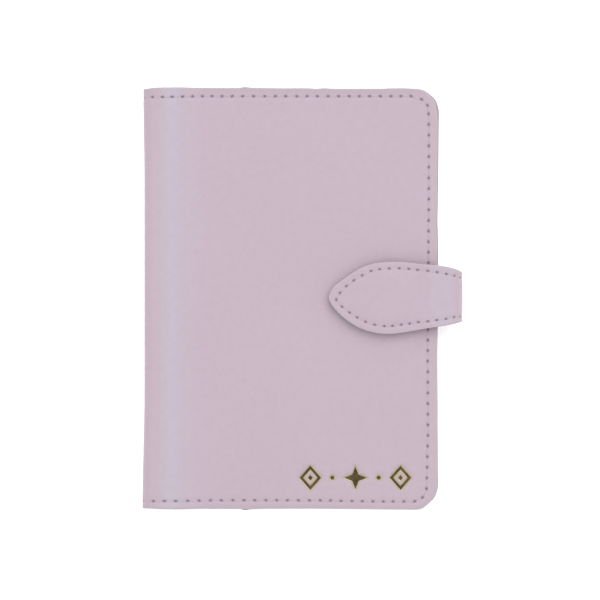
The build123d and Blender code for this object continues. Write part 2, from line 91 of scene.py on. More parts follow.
def joint_pos(name):
    j = next(j for j in frame["joints"] if j["name"] == name)
    return np.array(j["pos_m"]) / MM


# ---------------------------------------------------------------- small maths
def ss(a, b, x):
    """Smoothstep from a to b, which may run either way."""
    t = np.clip((np.asarray(x, float) - a) / (b - a), 0, 1)
    return t * t * (3 - 2 * t)


def waves(seed, count, shortest, longest):
    """A smooth random height field as a sum of plane waves, about -1 to 1."""
    r = np.random.default_rng(seed)
    lam = np.exp(r.uniform(math.log(shortest), math.log(longest), count))
    ang, ph = r.uniform(0, math.pi, count), r.uniform(0, 2 * math.pi, count)
    kx, ky = 2 * math.pi / lam * np.cos(ang), 2 * math.pi / lam * np.sin(ang)
    amp = (lam / longest) ** 0.6

    def f(x, y):
        x, y = np.asarray(x, float), np.asarray(y, float)
        total = np.zeros(np.broadcast(x, y).shape)
        for i in range(count):
            total = total + amp[i] * np.sin(kx[i] * x + ky[i] * y + ph[i])
        return total / math.sqrt((amp**2).sum())

    return f


rumple = waves(3, 9, 26.0, 90.0)
ripple = waves(8, 7, 7.0, 16.0)
edge_wave = waves(11, 8, 6.0, 34.0)


def resample(points, step):
    """Even spacing along an open polyline, ends kept."""
    p = np.asarray(points, float)
    seg = np.linalg.norm(np.diff(p, axis=0), axis=1)
    s = np.concatenate([[0], np.cumsum(seg)])
    n = max(2, int(round(s[-1] / step)) + 1)
    t = np.linspace(0, s[-1], n)
    return np.column_stack([np.interp(t, s, p[:, 0]), np.interp(t, s, p[:, 1])])


def catmull(points, step):
    p = np.asarray(points, float)
    q = np.vstack([2 * p[0] - p[1], p, 2 * p[-1] - p[-2]])
    out = []
    for i in range(1, len(q) - 2):
        a, b, c, d = q[i - 1], q[i], q[i + 1], q[i + 2]
        t = np.linspace(0, 1, 12, endpoint=False)[:, None]
        out.append(0.5 * (2 * b + (c - a) * t + (2 * a - 5 * b + 4 * c - d) * t**2 + (3 * b - a - 3 * c + d) * t**3))
    out.append(p[-1][None])
    return resample(np.vstack(out), step)


def arc(cx, cy, r, a0, a1, n):
    a = np.radians(np.linspace(a0, a1, n))
    return np.column_stack([cx + r * np.cos(a), cy + r * np.sin(a)])


def path_distance(pts, path):
    """Distance of each point from a densely sampled path, and the nearest sample's index."""
    best = np.full(len(pts), 1e9)
    idx = np.zeros(len(pts), int)
    for i in range(0, len(path), 64):
        d = np.linalg.norm(pts[:, None] - path[None, i : i + 64], axis=2)
        j = d.argmin(1)
        m = d[np.arange(len(pts)), j]
        hit = m < best
        best[hit], idx[hit] = m[hit], (i + j)[hit]
    return best, idx


# ---------------------------------------------------------------- meshes
def make_object(name, verts, faces, attrs=None, sharp=48.0):
    me = bpy.data.meshes.new(name)
    me.from_pydata((np.asarray(verts) * MM).tolist(), [], faces)
    me.validate()
    me.update()
    for key, values in (attrs or {}).items():
        values = np.asarray(values, np.float32)
        if values.ndim == 2:
            a = me.attributes.new(key, "FLOAT_VECTOR", "POINT")
            a.data.foreach_set("vector", values.ravel())
        else:
            a = me.attributes.new(key, "FLOAT", "POINT")
            a.data.foreach_set("value", values)
    me.polygons.foreach_set("use_smooth", np.ones(len(me.polygons), bool))
    if sharp:
        me.set_sharp_from_angle(angle=math.radians(sharp))
    ob = bpy.data.objects.new(name, me)
    bpy.context.scene.collection.objects.link(ob)
    return ob


def outward(verts, faces):
    """Flips every face if the closed mesh is inside out."""
    v = np.asarray(verts)
    vol = 0.0
    for f in faces:
        for i in range(1, len(f) - 1):
            vol += np.dot(v[f[0]], np.cross(v[f[i]], v[f[i + 1]]))
    return [tuple(reversed(f)) for f in faces] if vol < 0 else faces


def profile(T, rt, rb, n=5):
    """Edge section of a slab from its top face to its bottom face, as (inset, depth)."""
    a = np.linspace(0, math.pi / 2, n)
    top = [(rt * (1 - math.sin(t)), rt * (1 - math.cos(t))) for t in a]
    bot = [(rb * (1 - math.sin(t)), T - rb * (1 - math.cos(t))) for t in a[::-1]]
    mid = [(0.0, rt + (T - rt - rb) * 0.5)]
    return top + mid + bot


def inset_vectors(loop, free):
    """Inward unit vectors of a counter-clockwise loop. free[i] says that the edge from i to i + 1 is a free edge."""
    nxt = np.roll(loop, -1, axis=0) - loop
    ln = np.linalg.norm(nxt, axis=1, keepdims=True)
    t = nxt / np.maximum(ln, 1e-9)
    n_edge = np.column_stack([-t[:, 1], t[:, 0]])
    prev_n, prev_free = np.roll(n_edge, 1, axis=0), np.roll(free, 1)
    out = np.zeros_like(loop)
    for i in range(len(loop)):
        if free[i] and prev_free[i]:
            m = n_edge[i] + prev_n[i]
            m = m / max(np.linalg.norm(m), 1e-9)
            out[i] = m / max(0.6, float(m @ n_edge[i]))
        elif free[i]:
            out[i] = n_edge[i]
        elif prev_free[i]:
            out[i] = prev_n[i]
    return out


def triangulate(boundary, inner, loops=()):
    """Triangles inside a boundary loop. Returns points, triangles, and where each boundary point went."""
    pts = [Vector(p) for p in boundary]
    n = len(pts)
    edges = [(i, (i + 1) % n) for i in range(n)]
    for loop in loops:
        s = len(pts)
        pts += [Vector(p) for p in loop]
        edges += [(s + i, s + (i + 1) % len(loop)) for i in range(len(loop))]
    pts += [Vector(p) for p in inner]
    v, _, f, ov, _, _ = delaunay_2d_cdt(pts, edges, [], 1, 1e-5)
    where = {}
    for new, olds in enumerate(ov):
        for o in olds:
            where[o] = new
    return np.array([tuple(p) for p in v]), [tuple(t) for t in f], [where[i] for i in range(n)]


def inside(points, loop, margin):
    """Keeps the points inside a loop, at least margin from it."""
    p = np.asarray(points, float)
    x, y = p[:, 0], p[:, 1]
    ok = np.zeros(len(p), bool)
    a, b = loop, np.roll(loop, -1, axis=0)
    for (xa, ya), (xb, yb) in zip(a, b):
        if ya != yb:
            hit = (ya > y) != (yb > y)
            ok ^= hit & (x < (xb - xa) * (y - ya) / (yb - ya) + xa)
    d, _ = path_distance(p[ok], loop)
    keep = np.where(ok)[0][d > margin]
    return p[keep]


def slab(name, loop, free, T, place, rt=0.3, rb=0.2, top=None, bottom=None, inner=(), inner_bottom=(), loops=(), extra=None, sharp=48.0):
    """A closed sheet. loop is its outline in flat coordinates, place turns (u, v, depth) into a point, top and bottom give
    how much lower or higher each face lies at (u, v), and extra gives more attributes at (u, v, depth, wall)."""
    vec = inset_vectors(loop, free)
    prof = profile(T, rt, rb)
    top = top or (lambda u, v: np.zeros(len(u)))
    bottom = bottom or (lambda u, v: np.zeros(len(u)))
    rows = [loop + vec * e for e, _ in prof]
    flat, depth, wall = [], [], []
    start = []
    for (e, d), row in zip(prof, rows):
        start.append(sum(len(r) for r in flat))
        k = d / T
        flat.append(row)
        depth.append(d + top(row[:, 0], row[:, 1]) * (1 - k) - bottom(row[:, 0], row[:, 1]) * k)
        wall.append(np.full(len(row), 0.0 if d < 0.02 else (1.0 if d < T - 0.02 else 0.4)))
    n = len(loop)
    faces = []
    for j in range(len(rows) - 1):
        a, b = start[j], start[j + 1]
        for i in range(n):
            k = (i + 1) % n
            faces.append((a + i, b + i, b + k, a + k))
    base = start[-1] + n
    for which, row_i, pts_in, lps in ((0, 0, inner, loops), (1, len(rows) - 1, inner_bottom, ())):
        boundary = rows[row_i]
        pts_in = np.asarray(pts_in, float).reshape(-1, 2)
        if len(pts_in):
            pts_in = inside(pts_in, boundary, 0.12)
        v, f, where = triangulate(boundary, pts_in, lps)
        index = np.full(len(v), -1)
        for i, w in enumerate(where):
            index[w] = start[row_i] + i
        new = np.where(index < 0)[0]
        index[new] = base + np.arange(len(new))
        base += len(new)
        if len(new):
            flat.append(v[new])
            u, w = v[new][:, 0], v[new][:, 1]
            depth.append(top(u, w) if which == 0 else T - bottom(u, w))
            wall.append(np.zeros(len(new)) if which == 0 else np.full(len(new), 0.4))
        for t in f:
            t = tuple(int(index[i]) for i in t)
            faces.append(t if which == 0 else tuple(reversed(t)))
    flat, depth, wall = np.vstack(flat), np.concatenate(depth), np.concatenate(wall)
    verts = place(flat[:, 0], flat[:, 1], depth)
    attrs = {"rest": np.column_stack([flat, depth]) * MM, "wall": wall}
    if extra:
        attrs.update(extra(flat[:, 0], flat[:, 1], depth, wall))
    return make_object(name, verts, outward(verts, faces), attrs, sharp)


def loop_of(parts, frees):
    """Joins open polylines into one loop, dropping repeated ends. frees says for each part whether its edges are free."""
    pts, free = [], []
    for p, fr in zip(parts, frees):
        p = np.asarray(p, float)
        pts.append(p[:-1])
        free += [fr] * (len(p) - 1)
    return np.vstack(pts), np.array(free)


# ---------------------------------------------------------------- how flat sheets wrap
def flare(v):
    """How far the spine's face bulges out along its length."""
    v = np.asarray(v, float)
    return -(0.46 + 0.3 * ss(40, 66, v) + 0.6 * ss(-30, -68, v))


def place_cover(front):
    """u is x on the panel and goes on round the fold and up the spine. Depth 0 is the outer face."""

    def f(u, v, d):
        u, v, d = (np.asarray(a, float) for a in (u, v, d))
        q = FOLD_R * math.pi / 2
        a = np.clip((XC - u) / FOLD_R, 0, math.pi / 2)
        past = np.clip(XC - q - u, 0, None)
        x = np.where(u >= XC, u, XC - (FOLD_R - d) * np.sin(a))
        z = np.where(u >= XC, H - d, H - FOLD_R + (FOLD_R - d) * np.cos(a) - past)
        z = z if front else H - z
        return np.column_stack([x + flare(v) * ss(-36, -45, x), v, z])

    return f


LR = 1.95  # the lining turns into the spine with this radius
LX = X0 + Z1 + 0.4 + LR


def place_lining(front):
    """Depth 0 is the face seen inside the holder."""

    def f(u, v, d):
        u, v, d = (np.asarray(a, float) for a in (u, v, d))
        q = LR * math.pi / 2
        a = np.clip((LX - u) / LR, 0, math.pi / 2)
        past = np.clip(LX - q - u, 0, None)
        x = np.where(u >= LX, u, LX - (LR + d) * np.sin(a))
        z = np.where(u >= LX, Z3 - d, Z3 + LR - (LR + d) * np.cos(a) + past)
        return np.column_stack([x + flare(v) * ss(-36, -45, x), v, H - z if front else z])

    return f


def place_flat(z, sign):
    def f(u, v, d):
        return np.column_stack([u, v, z - sign * np.asarray(d, float)])

    return f


def droop(u, v):
    """How far the tab sinks round the snap that holds it up."""
    r = np.hypot(np.asarray(u, float) - SNAP_X, np.asarray(v, float) - SNAP_Y)
    return (0.85 * ss(5.6, 14.0, r) + 0.45 * ss(11.5, 20.0, r)) * (1 - ss(37.0, 47.0, u))


def place_strap(u, v, d):
    """u is x on the tab, goes on round the loop and back under the cover. Depth 0 is the outer face."""
    u, v, d = (np.asarray(a, float) for a in (u, v, d))
    q = LOOP_R * math.pi
    a = np.clip((u - LOOP_X) / LOOP_R, 0, math.pi)
    past = np.clip(u - LOOP_X - q, 0, None)
    x = np.where(u <= LOOP_X, u, LOOP_X + (LOOP_R - d) * np.sin(a) - past)
    z = np.where(u <= LOOP_X, TAB_Z2 - d - droop(u, v), LOOP_Z + (LOOP_R - d) * np.cos(a))
    return np.column_stack([x, v, z])


# ---------------------------------------------------------------- outline and seam of the front cover, in mm
EDGE_TOP = [(-47.7, 70.05), (-45.1, 70.3), (-42, 70.4), (-37, 70.44), (-34, 70.35), (-29, 70.27), (-24, 70.23), (-19.5, 70.25), (-17.2, 70.3), (-15.8, 70.6), (-14.3, 70.4),
            (-12.5, 70.3), (-8, 70.2), (-2.5, 70.12), (3, 70.16), (6, 70.1), (8.3, 69.98), (10.8, 70.14), (13.5, 70.0), (19, 69.97), (24, 70.0), (29.4, 70.0), (32.5, 70.1), (37.4, 70.14), (41, 69.95)]
CORNER_TR = [(42.6, 69.8), (43.8, 69.5), (44.9, 68.85), (45.95, 67.95), (47.1, 67.05), (47.85, 65.95), (48.35, 64.7), (48.75, 63.2), (48.88, 61.6)]
EDGE_RIGHT = [(48.83, 57.4), (48.76, 51.5), (48.7, 45.5), (48.58, 37.5), (48.48, 31), (48.4, 25.5), (48.56, 20), (48.6, 13.5), (48.55, 2), (48.5, -8), (48.35, -15),
              (48.33, -20), (48.4, -28), (48.47, -36), (48.45, -42), (48.54, -49), (48.45, -56), (48.4, -60.5)]
CORNER_BR = [(48.33, -62.7), (47.95, -64.2), (47.55, -65.4), (46.95, -66.4), (46.2, -67.3), (45.4, -68.15), (44.5, -68.95), (43.4, -69.6), (42.3, -69.95), (41.0, -70.08)]
EDGE_BOTTOM = [(37.4, -70.04), (32, -70.0), (27, -69.95), (19, -69.87), (10, -69.76), (3, -69.72), (-5, -69.78), (-15, -69.73), (-29, -69.7), (-37, -69.75), (-45, -69.71), (-47.7, -69.68)]


# stitch holes round the front cover, from the fold along the top, down the fore-edge and back along the bottom
SEAM_TOP_X = [-49.9, -45.7, -42.5, -39.6, -36.4, -33.1, -29.8, -26.6, -23.3, -19.9, -16.4, -12.8, -9.1, -5.6, -2.1, 1.6, 5.0, 8.4, 12.0, 15.5, 19.0, 22.4, 25.8, 29.4, 32.9, 36.2, 39.6]
SEAM_BOTTOM_X = [37.2, 33.6, 30.4, 26.9, 23.4, 19.9, 16.3, 12.8, 9.4, 5.8, 2.1, -1.5, -5.1, -8.7, -12.4, -16.0, -19.7, -23.5, -27.1, -30.9, -34.7, -38.5, -41.7, -45.1, -49.6]
seam_y_top = lambda x: np.interp(x, [-46, -40, -31, 40], [67.22, 67.28, 67.48, 67.47])
seam_y_bottom = lambda x: np.interp(x, [-46, -39, -31, -22, 0, 12, 21, 29, 41], [-67.2, -67.17, -67.03, -66.93, -66.94, -67.0, -67.2, -67.33, -67.32])
seam_x_right = lambda y: np.interp(y, [-63, -46, -20, -14, 20, 30, 55, 62], [44.75, 45.2, 45.12, 45.15, 45.38, 45.48, 45.52, 45.42])
right_y = list(np.linspace(61.6, 11.94, 15)) + list(np.linspace(11.94, -13.57, 8)[1:]) + list(np.linspace(-13.57, -63.05, 15)[1:])
SEAM_POINTS = [(x, float(seam_y_top(x))) for x in SEAM_TOP_X] + [(43.1, 66.4), (45.05, 64.4)]
SEAM_POINTS += [(float(seam_x_right(y)), y) for y in right_y] + [(43.4, -65.95), (40.75, -67.28)]
SEAM_POINTS += [(x, float(seam_y_bottom(x))) for x in SEAM_BOTTOM_X]


def with_directions(points, spread, seed):
    """Adds each hole's direction along its seam, a little uneven as in hand work."""
    r = np.random.default_rng(seed)
    p = np.asarray(points, float)
    q = np.vstack([2 * p[0] - p[1], p, 2 * p[-1] - p[-2]])
    t = q[2:] - q[:-2]
    a = np.arctan2(t[:, 1], t[:, 0])
    return np.column_stack([p, a + r.normal(0, spread, len(p))])


def holes_along(path, pitch, start, end, jitter, seed):
    """Stitch holes at a pitch along a path."""
    r = np.random.default_rng(seed)
    seg = np.linalg.norm(np.diff(path, axis=0), axis=1)
    s = np.concatenate([[0], np.cumsum(seg)])
    t = np.arange(start, s[-1] - end + 1e-6, pitch)
    t = np.clip(t + r.normal(0, jitter, len(t)), 0, s[-1])
    return with_directions(np.column_stack([np.interp(t, s, path[:, 0]), np.interp(t, s, path[:, 1])]), 0.05, seed)


def hole_field(holes, ha, hb, power=1.4):
    """1 in the middle of a hole, 0 away from it. ha and hb are the half length and half width."""

    def f(u, v):
        u, v = np.asarray(u, float), np.asarray(v, float)
        out = np.zeros(len(u))
        for hu, hv, a in holes:
            near = np.where((np.abs(u - hu) < 3) & (np.abs(v - hv) < 3))[0]
            if not len(near):
                continue
            du, dv = u[near] - hu, v[near] - hv
            p, q = du * math.cos(a) + dv * math.sin(a), -du * math.sin(a) + dv * math.cos(a)
            out[near] = np.maximum(out[near], np.exp(-(((p / ha) ** 2 + (q / hb) ** 2) ** power)))
        return out

    return f


def hole_points(holes, ha, hb):
    """Extra mesh points around each hole."""
    out = []
    for hu, hv, a in holes:
        out.append([(hu, hv)])
        for k, n in ((0.45, 6), (0.8, 10), (1.1, 12), (1.45, 12), (1.95, 12)):
            t = np.linspace(0, 2 * math.pi, n, endpoint=False) + k
            p, q = k * ha * np.cos(t), k * hb * np.sin(t)
            out.append(np.column_stack([hu + p * math.cos(a) - q * math.sin(a), hv + p * math.sin(a) + q * math.cos(a)]))
    return np.vstack([np.asarray(o, float) for o in out])


def thread_runs(name, holes, place, height, sink, skip=(), r=0.2, apart=0.17, twist=1.5, lie=0.11):
    """Two-ply thread between neighbouring holes. height(u, v) is the sheet's depth there, sink how deep the ends go."""
    verts, faces, rest, ends = [], [], [], []
    sides, segs = 7, 14
    for i in range(len(holes) - 1):
        if i in skip:
            continue
        (ua, va, _), (ub, vb, _) = holes[i], holes[i + 1]
        L = math.hypot(ub - ua, vb - va)
        if L > 5.5 or L < 1.2:
            continue
        t = np.linspace(0, 1, segs)
        bow = 0.06 * math.sin(i * 2.4)
        du, dv = (ub - ua) / L, (vb - va) / L
        grow = 0.035
        tt = grow + (1 - 2 * grow) * t
        u = ua + (ub - ua) * tt - dv * bow * np.sin(math.pi * t)
        v = va + (vb - va) * tt + du * bow * np.sin(math.pi * t)
        mid = height(u, v)
        near_end = np.minimum(tt, 1 - tt) * L  # distance to the nearer hole
        rise = ss(0.1, 0.95, near_end)
        depth = sink * (1 - rise) + (mid[len(mid) // 2] + lie) * rise
        # painted shade: the run is coloured darker near each hole, where the thread goes down into it
        dark = 1 - ss(0.3, 0.9, near_end)
        turn = 2 * math.pi * (L * t) / twist + i
        for strand in (0, 1):
            ph = turn + strand * math.pi
            cu = u - dv * apart * np.cos(ph)
            cv = v + du * apart * np.cos(ph)
            cd = depth + 0.62 * apart * np.sin(ph)
            base = len(verts) and sum(len(x) for x in verts)
            ring = []
            # the section stands across the run: along the sheet's normal and across the seam
            dd = np.gradient(depth, t * L)
            for s in range(sides):
                th = 2 * math.pi * s / sides
                c, sn = math.cos(th), math.sin(th)
                k = 1 / np.sqrt(1 + dd**2)
                uu = cu - dv * r * c - du * r * sn * dd * k
                vv = cv + du * r * c - dv * r * sn * dd * k
                ring.append(np.column_stack([uu, vv, cd + r * sn * k]))
            ring = np.stack(ring, 1)  # segs, sides, 3
            flat = ring.reshape(-1, 3)
            verts.append(place(flat[:, 0], flat[:, 1], flat[:, 2]))
            rest.append(flat)
            ends.append(np.repeat(dark, sides))
            b = int(base)
            fs = []
            for a in range(segs - 1):
                for s in range(sides):
                    s2 = (s + 1) % sides
                    fs.append((b + a * sides + s, b + a * sides + s2, b + (a + 1) * sides + s2, b + (a + 1) * sides + s))
            fs.append(tuple(b + s for s in reversed(range(sides))))
            fs.append(tuple(b + (segs - 1) * sides + s for s in range(sides)))
            faces.append((b, len(flat), fs))
    allv = np.vstack(verts)
    out = []
    for b, n, fs in faces:
        part = allv[b : b + n]
        local = [tuple(i - b for i in f) for f in fs]
        fixed = outward(part, local)
        out += [tuple(i + b for i in f) for f in fixed]
    return make_object(name, allv, out, {"rest": np.vstack(rest) * MM, "hole": np.concatenate(ends)}, 60)


# ---------------------------------------------------------------- materials
def mat(name):
    m = bpy.data.materials.new(name)
    m.use_nodes = True
    nt = m.node_tree
    for n in list(nt.nodes):
        nt.nodes.remove(n)
    out = nt.nodes.new("ShaderNodeOutputMaterial")
    b = nt.nodes.new("ShaderNodeBsdfPrincipled")
    nt.links.new(b.outputs[0], out.inputs[0])
    return m, nt, b


def lin(rgb):
    return [((c / 255) / 12.92 if c / 255 <= 0.04045 else ((c / 255 + 0.055) / 1.055) ** 2.4) for c in rgb] + [1.0]


def attribute(nt, name):
    n = nt.nodes.new("ShaderNodeAttribute")
    n.attribute_name = name
    return n


def noise(nt, vec, scale, detail=3.0, rough=0.5, distortion=0.0):
    n = nt.nodes.new("ShaderNodeTexNoise")
    n.inputs["Scale"].default_value = scale
    n.inputs["Detail"].default_value = detail
    n.inputs["Roughness"].default_value = rough
    n.inputs["Distortion"].default_value = distortion
    nt.links.new(vec, n.inputs["Vector"])
    return n.outputs["Fac"]


def remap(nt, value, a, b, c, d):
    n = nt.nodes.new("ShaderNodeMapRange")
    n.inputs["From Min"].default_value = a
    n.inputs["From Max"].default_value = b
    n.inputs["To Min"].default_value = c
    n.inputs["To Max"].default_value = d
    nt.links.new(value, n.inputs["Value"])
    return n.outputs[0]


def math_node(nt, op, a, b=None):
    n = nt.nodes.new("ShaderNodeMath")
    n.operation = op
    for i, x in enumerate((a, b)):
        if x is None:
            continue
        if isinstance(x, (int, float)):
            n.inputs[i].default_value = x
        else:
            nt.links.new(x, n.inputs[i])
    return n.outputs[0]


def mix(nt, fac, a, b):
    n = nt.nodes.new("ShaderNodeMix")
    n.data_type = "RGBA"
    if isinstance(fac, (int, float)):
        n.inputs[0].default_value = fac
    else:
        nt.links.new(fac, n.inputs[0])
    for i, x in ((6, a), (7, b)):
        if isinstance(x, (list, tuple)):
            n.inputs[i].default_value = x
        else:
            nt.links.new(x, n.inputs[i])
    return n.outputs[2]


def bump(nt, bsdf, height, distance, strength=1.0, normal=None):
    n = nt.nodes.new("ShaderNodeBump")
    n.inputs["Distance"].default_value = distance
    n.inputs["Strength"].default_value = strength
    nt.links.new(height, n.inputs["Height"])
    if normal is not None:
        nt.links.new(normal, n.inputs["Normal"])
    nt.links.new(n.outputs[0], bsdf.inputs["Normal"])
    return n.outputs[0]


# hole is the colour of the painted shade in stitch holes, pale the colour of the painted sheen
def leather(name, base, light, dark, edge, grain=0.00003, cell=1500.0, rough=(0.5, 0.62), hole=(142, 124, 138), pale=(186, 176, 190)):
    m, nt, b = mat(name)
    rest = attribute(nt, "rest").outputs["Vector"]
    broad = noise(nt, rest, 22.0, 3, 0.5)
    tone = attribute(nt, "tone").outputs["Fac"]
    fine = noise(nt, rest, 420.0, 4, 0.6)
    vor = nt.nodes.new("ShaderNodeTexVoronoi")
    vor.feature = "DISTANCE_TO_EDGE"
    vor.inputs["Scale"].default_value = cell
    warp = nt.nodes.new("ShaderNodeVectorMath")
    warp.operation = "ADD"
    nz = nt.nodes.new("ShaderNodeTexNoise")
    nz.inputs["Scale"].default_value = 900.0
    nt.links.new(rest, nz.inputs["Vector"])
    sc = nt.nodes.new("ShaderNodeVectorMath")
    sc.operation = "SCALE"
    sc.inputs["Scale"].default_value = 0.0004
    nt.links.new(nz.outputs["Color"], sc.inputs[0])
    nt.links.new(rest, warp.inputs[0])
    nt.links.new(sc.outputs[0], warp.inputs[1])
    nt.links.new(warp.outputs[0], vor.inputs["Vector"])
    pebble = remap(nt, vor.outputs["Distance"], 0.0, 0.35, 0.0, 1.0)
    col = mix(nt, remap(nt, broad, 0.3, 0.7, 0.0, 1.0), lin(base), lin(light))
    # painted light: positive values of this attribute paint a pale sheen, negative values paint shade with the dark
    # colour, and also the darker border by the edge
    col = mix(nt, remap(nt, tone, 0.0, 1.0, 0.0, 1.0), col, lin(pale))
    col = mix(nt, remap(nt, tone, 0.0, -1.0, 0.0, 1.0), col, lin(dark))
    col = mix(nt, remap(nt, fine, 0.42, 0.75, 0.0, 0.16), col, lin(dark))
    # painted shade: the grain's creases are coloured darker, as shade falls in them
    crease_shade = math_node(nt, "MULTIPLY", remap(nt, vor.outputs["Distance"], 0.0, 0.12, 1.0, 0.0), 0.1)
    col = mix(nt, crease_shade, col, lin(dark))
    wall = attribute(nt, "wall").outputs["Fac"]
    fibre = noise(nt, rest, 2600.0, 3, 0.7)
    edge_col = mix(nt, remap(nt, fibre, 0.3, 0.7, 0.0, 1.0), lin(edge[0]), lin(edge[1]))
    col = mix(nt, wall, col, edge_col)
    # painted shade: the stitch holes are coloured darker, as shade falls into them
    hole_shade_mask = attribute(nt, "hole").outputs["Fac"]
    col = mix(nt, hole_shade_mask, col, lin(hole))
    nt.links.new(col, b.inputs["Base Color"])
    r = remap(nt, fine, 0.3, 0.7, rough[0], rough[1])
    r = math_node(nt, "ADD", r, math_node(nt, "MULTIPLY", wall, 0.18))
    nt.links.new(r, b.inputs["Roughness"])
    b.inputs["Specular IOR Level"].default_value = 0.32
    b.inputs["Sheen Weight"].default_value = 0.05
    b.inputs["Sheen Roughness"].default_value = 0.5
    h = math_node(nt, "ADD", math_node(nt, "MULTIPLY", pebble, 0.7), math_node(nt, "MULTIPLY", fine, 0.9))
    h = math_node(nt, "ADD", h, math_node(nt, "MULTIPLY", fibre, math_node(nt, "MULTIPLY", wall, 1.6)))
    bump(nt, b, h, grain)
    return m


LILAC, LILAC_LIGHT, LILAC_DARK = (186, 169, 180), (188, 171, 183), (170, 153, 165)
EDGE = ((178, 171, 177), (194, 187, 193))
m_cover = leather("cover_leather", LILAC, LILAC_LIGHT, LILAC_DARK, EDGE)
m_strap = leather("strap_leather", LILAC, LILAC_LIGHT, LILAC_DARK, EDGE, cell=1600.0)
m_backing = leather("strap_backing_leather", (183, 168, 179), (188, 173, 184), (164, 148, 159), EDGE, grain=0.00004, rough=(0.6, 0.74))
m_lining = leather("lining_leather", (181, 165, 176), (186, 171, 182), (160, 144, 155), ((164, 153, 162), (178, 168, 176)), grain=0.00002, cell=2600.0, rough=(0.55, 0.7))
m_sleeve = leather("sleeve_leather", (186, 169, 180), (190, 175, 185), (166, 150, 161), EDGE, grain=0.000028, cell=1700.0)
m_core = leather("bonded_board", (160, 151, 157), (170, 161, 167), (140, 131, 137), ((174, 167, 173), (190, 184, 190)), grain=0.00006, cell=1800.0, rough=(0.75, 0.9))


def thread_mat(name, a, b_, deep=(156, 138, 152)):
    m, nt, b = mat(name)
    rest = attribute(nt, "rest").outputs["Vector"]
    f = noise(nt, rest, 3200.0, 3, 0.6)
    col = mix(nt, remap(nt, f, 0.3, 0.7, 0, 1), lin(a), lin(b_))
    # painted shade: the thread is coloured darker where it goes down into its hole
    nt.links.new(mix(nt, attribute(nt, "hole").outputs["Fac"], col, lin(deep)), b.inputs["Base Color"])
    nt.links.new(remap(nt, f, 0.3, 0.7, 0.5, 0.68), b.inputs["Roughness"])
    b.inputs["Sheen Weight"].default_value = 0.15
    b.inputs["Specular IOR Level"].default_value = 0.35
    bump(nt, b, f, 0.00002)
    return m


m_thread = thread_mat("waxed_thread", (184, 167, 179), (194, 178, 190))


def metal(name, base, dark, rough, scale=900.0, aniso=False):
    m, nt, b = mat(name)
    co = nt.nodes.new("ShaderNodeTexCoord").outputs["Object"]
    f = noise(nt, co, scale, 4, 0.6)
    g = noise(nt, co, scale * 0.12, 3, 0.5)
    nt.links.new(mix(nt, remap(nt, f, 0.35, 0.75, 0, 0.6), lin(base), lin(dark)), b.inputs["Base Color"])
    nt.links.new(remap(nt, g, 0.3, 0.7, rough[0], rough[1]), b.inputs["Roughness"])
    b.inputs["Metallic"].default_value = 1.0
    bump(nt, b, f, 0.000008)
    return m


m_nickel = metal("nickel_plate", (214, 208, 200), (186, 180, 172), (0.2, 0.34))
m_steel = metal("pressed_steel", (190, 190, 190), (150, 150, 150), (0.35, 0.5))


def foil_mat():
    """Gold foil, pale on the rims where it catches the light and dark olive down in the stamp."""
    m, nt, b = mat("gold_foil")
    co = nt.nodes.new("ShaderNodeTexCoord").outputs["Object"]
    f = noise(nt, co, 1500.0, 4, 0.6)
    g = noise(nt, co, 260.0, 3, 0.5)
    fill = mix(nt, remap(nt, g, 0.35, 0.65, 0, 1), lin((92, 80, 56)), lin((62, 53, 38)))
    fill = mix(nt, remap(nt, f, 0.5, 0.75, 0, 0.5), fill, lin((134, 118, 78)))
    # painted highlight: the rims are coloured pale
    col = mix(nt, attribute(nt, "rim").outputs["Fac"], fill, lin((214, 200, 150)))
    nt.links.new(col, b.inputs["Base Color"])
    nt.links.new(remap(nt, g, 0.3, 0.7, 0.34, 0.5), b.inputs["Roughness"])
    b.inputs["Metallic"].default_value = 0.85
    bump(nt, b, f, 0.00002)
    return m


m_foil = foil_mat()


def magnet_mat():
    m, nt, b = mat("ferrite")
    co = nt.nodes.new("ShaderNodeTexCoord").outputs["Object"]
    f = noise(nt, co, 2500.0, 4, 0.6)
    nt.links.new(mix(nt, remap(nt, f, 0.3, 0.7, 0, 1), lin((52, 52, 55)), lin((72, 71, 74))), b.inputs["Base Color"])
    nt.links.new(remap(nt, f, 0.3, 0.7, 0.55, 0.75), b.inputs["Roughness"])
    bump(nt, b, f, 0.00001)
    return m


m_magnet = magnet_mat()


def give(ob, material):
    ob.data.materials.clear()
    ob.data.materials.append(material)


# ---------------------------------------------------------------- cover leather
outer_edge = catmull([(-54.0, -69.68)] + EDGE_BOTTOM[::-1] + CORNER_BR[::-1] + EDGE_RIGHT[::-1] + CORNER_TR[::-1] + EDGE_TOP[::-1] + [(-54.0, 70.0)], 0.3)
outer_edge[:, 0] += 0.1 * ss(20, 44, outer_edge[:, 0])
outer_edge[:, 1] += 0.1 * ss(0, 60, outer_edge[:, 1])


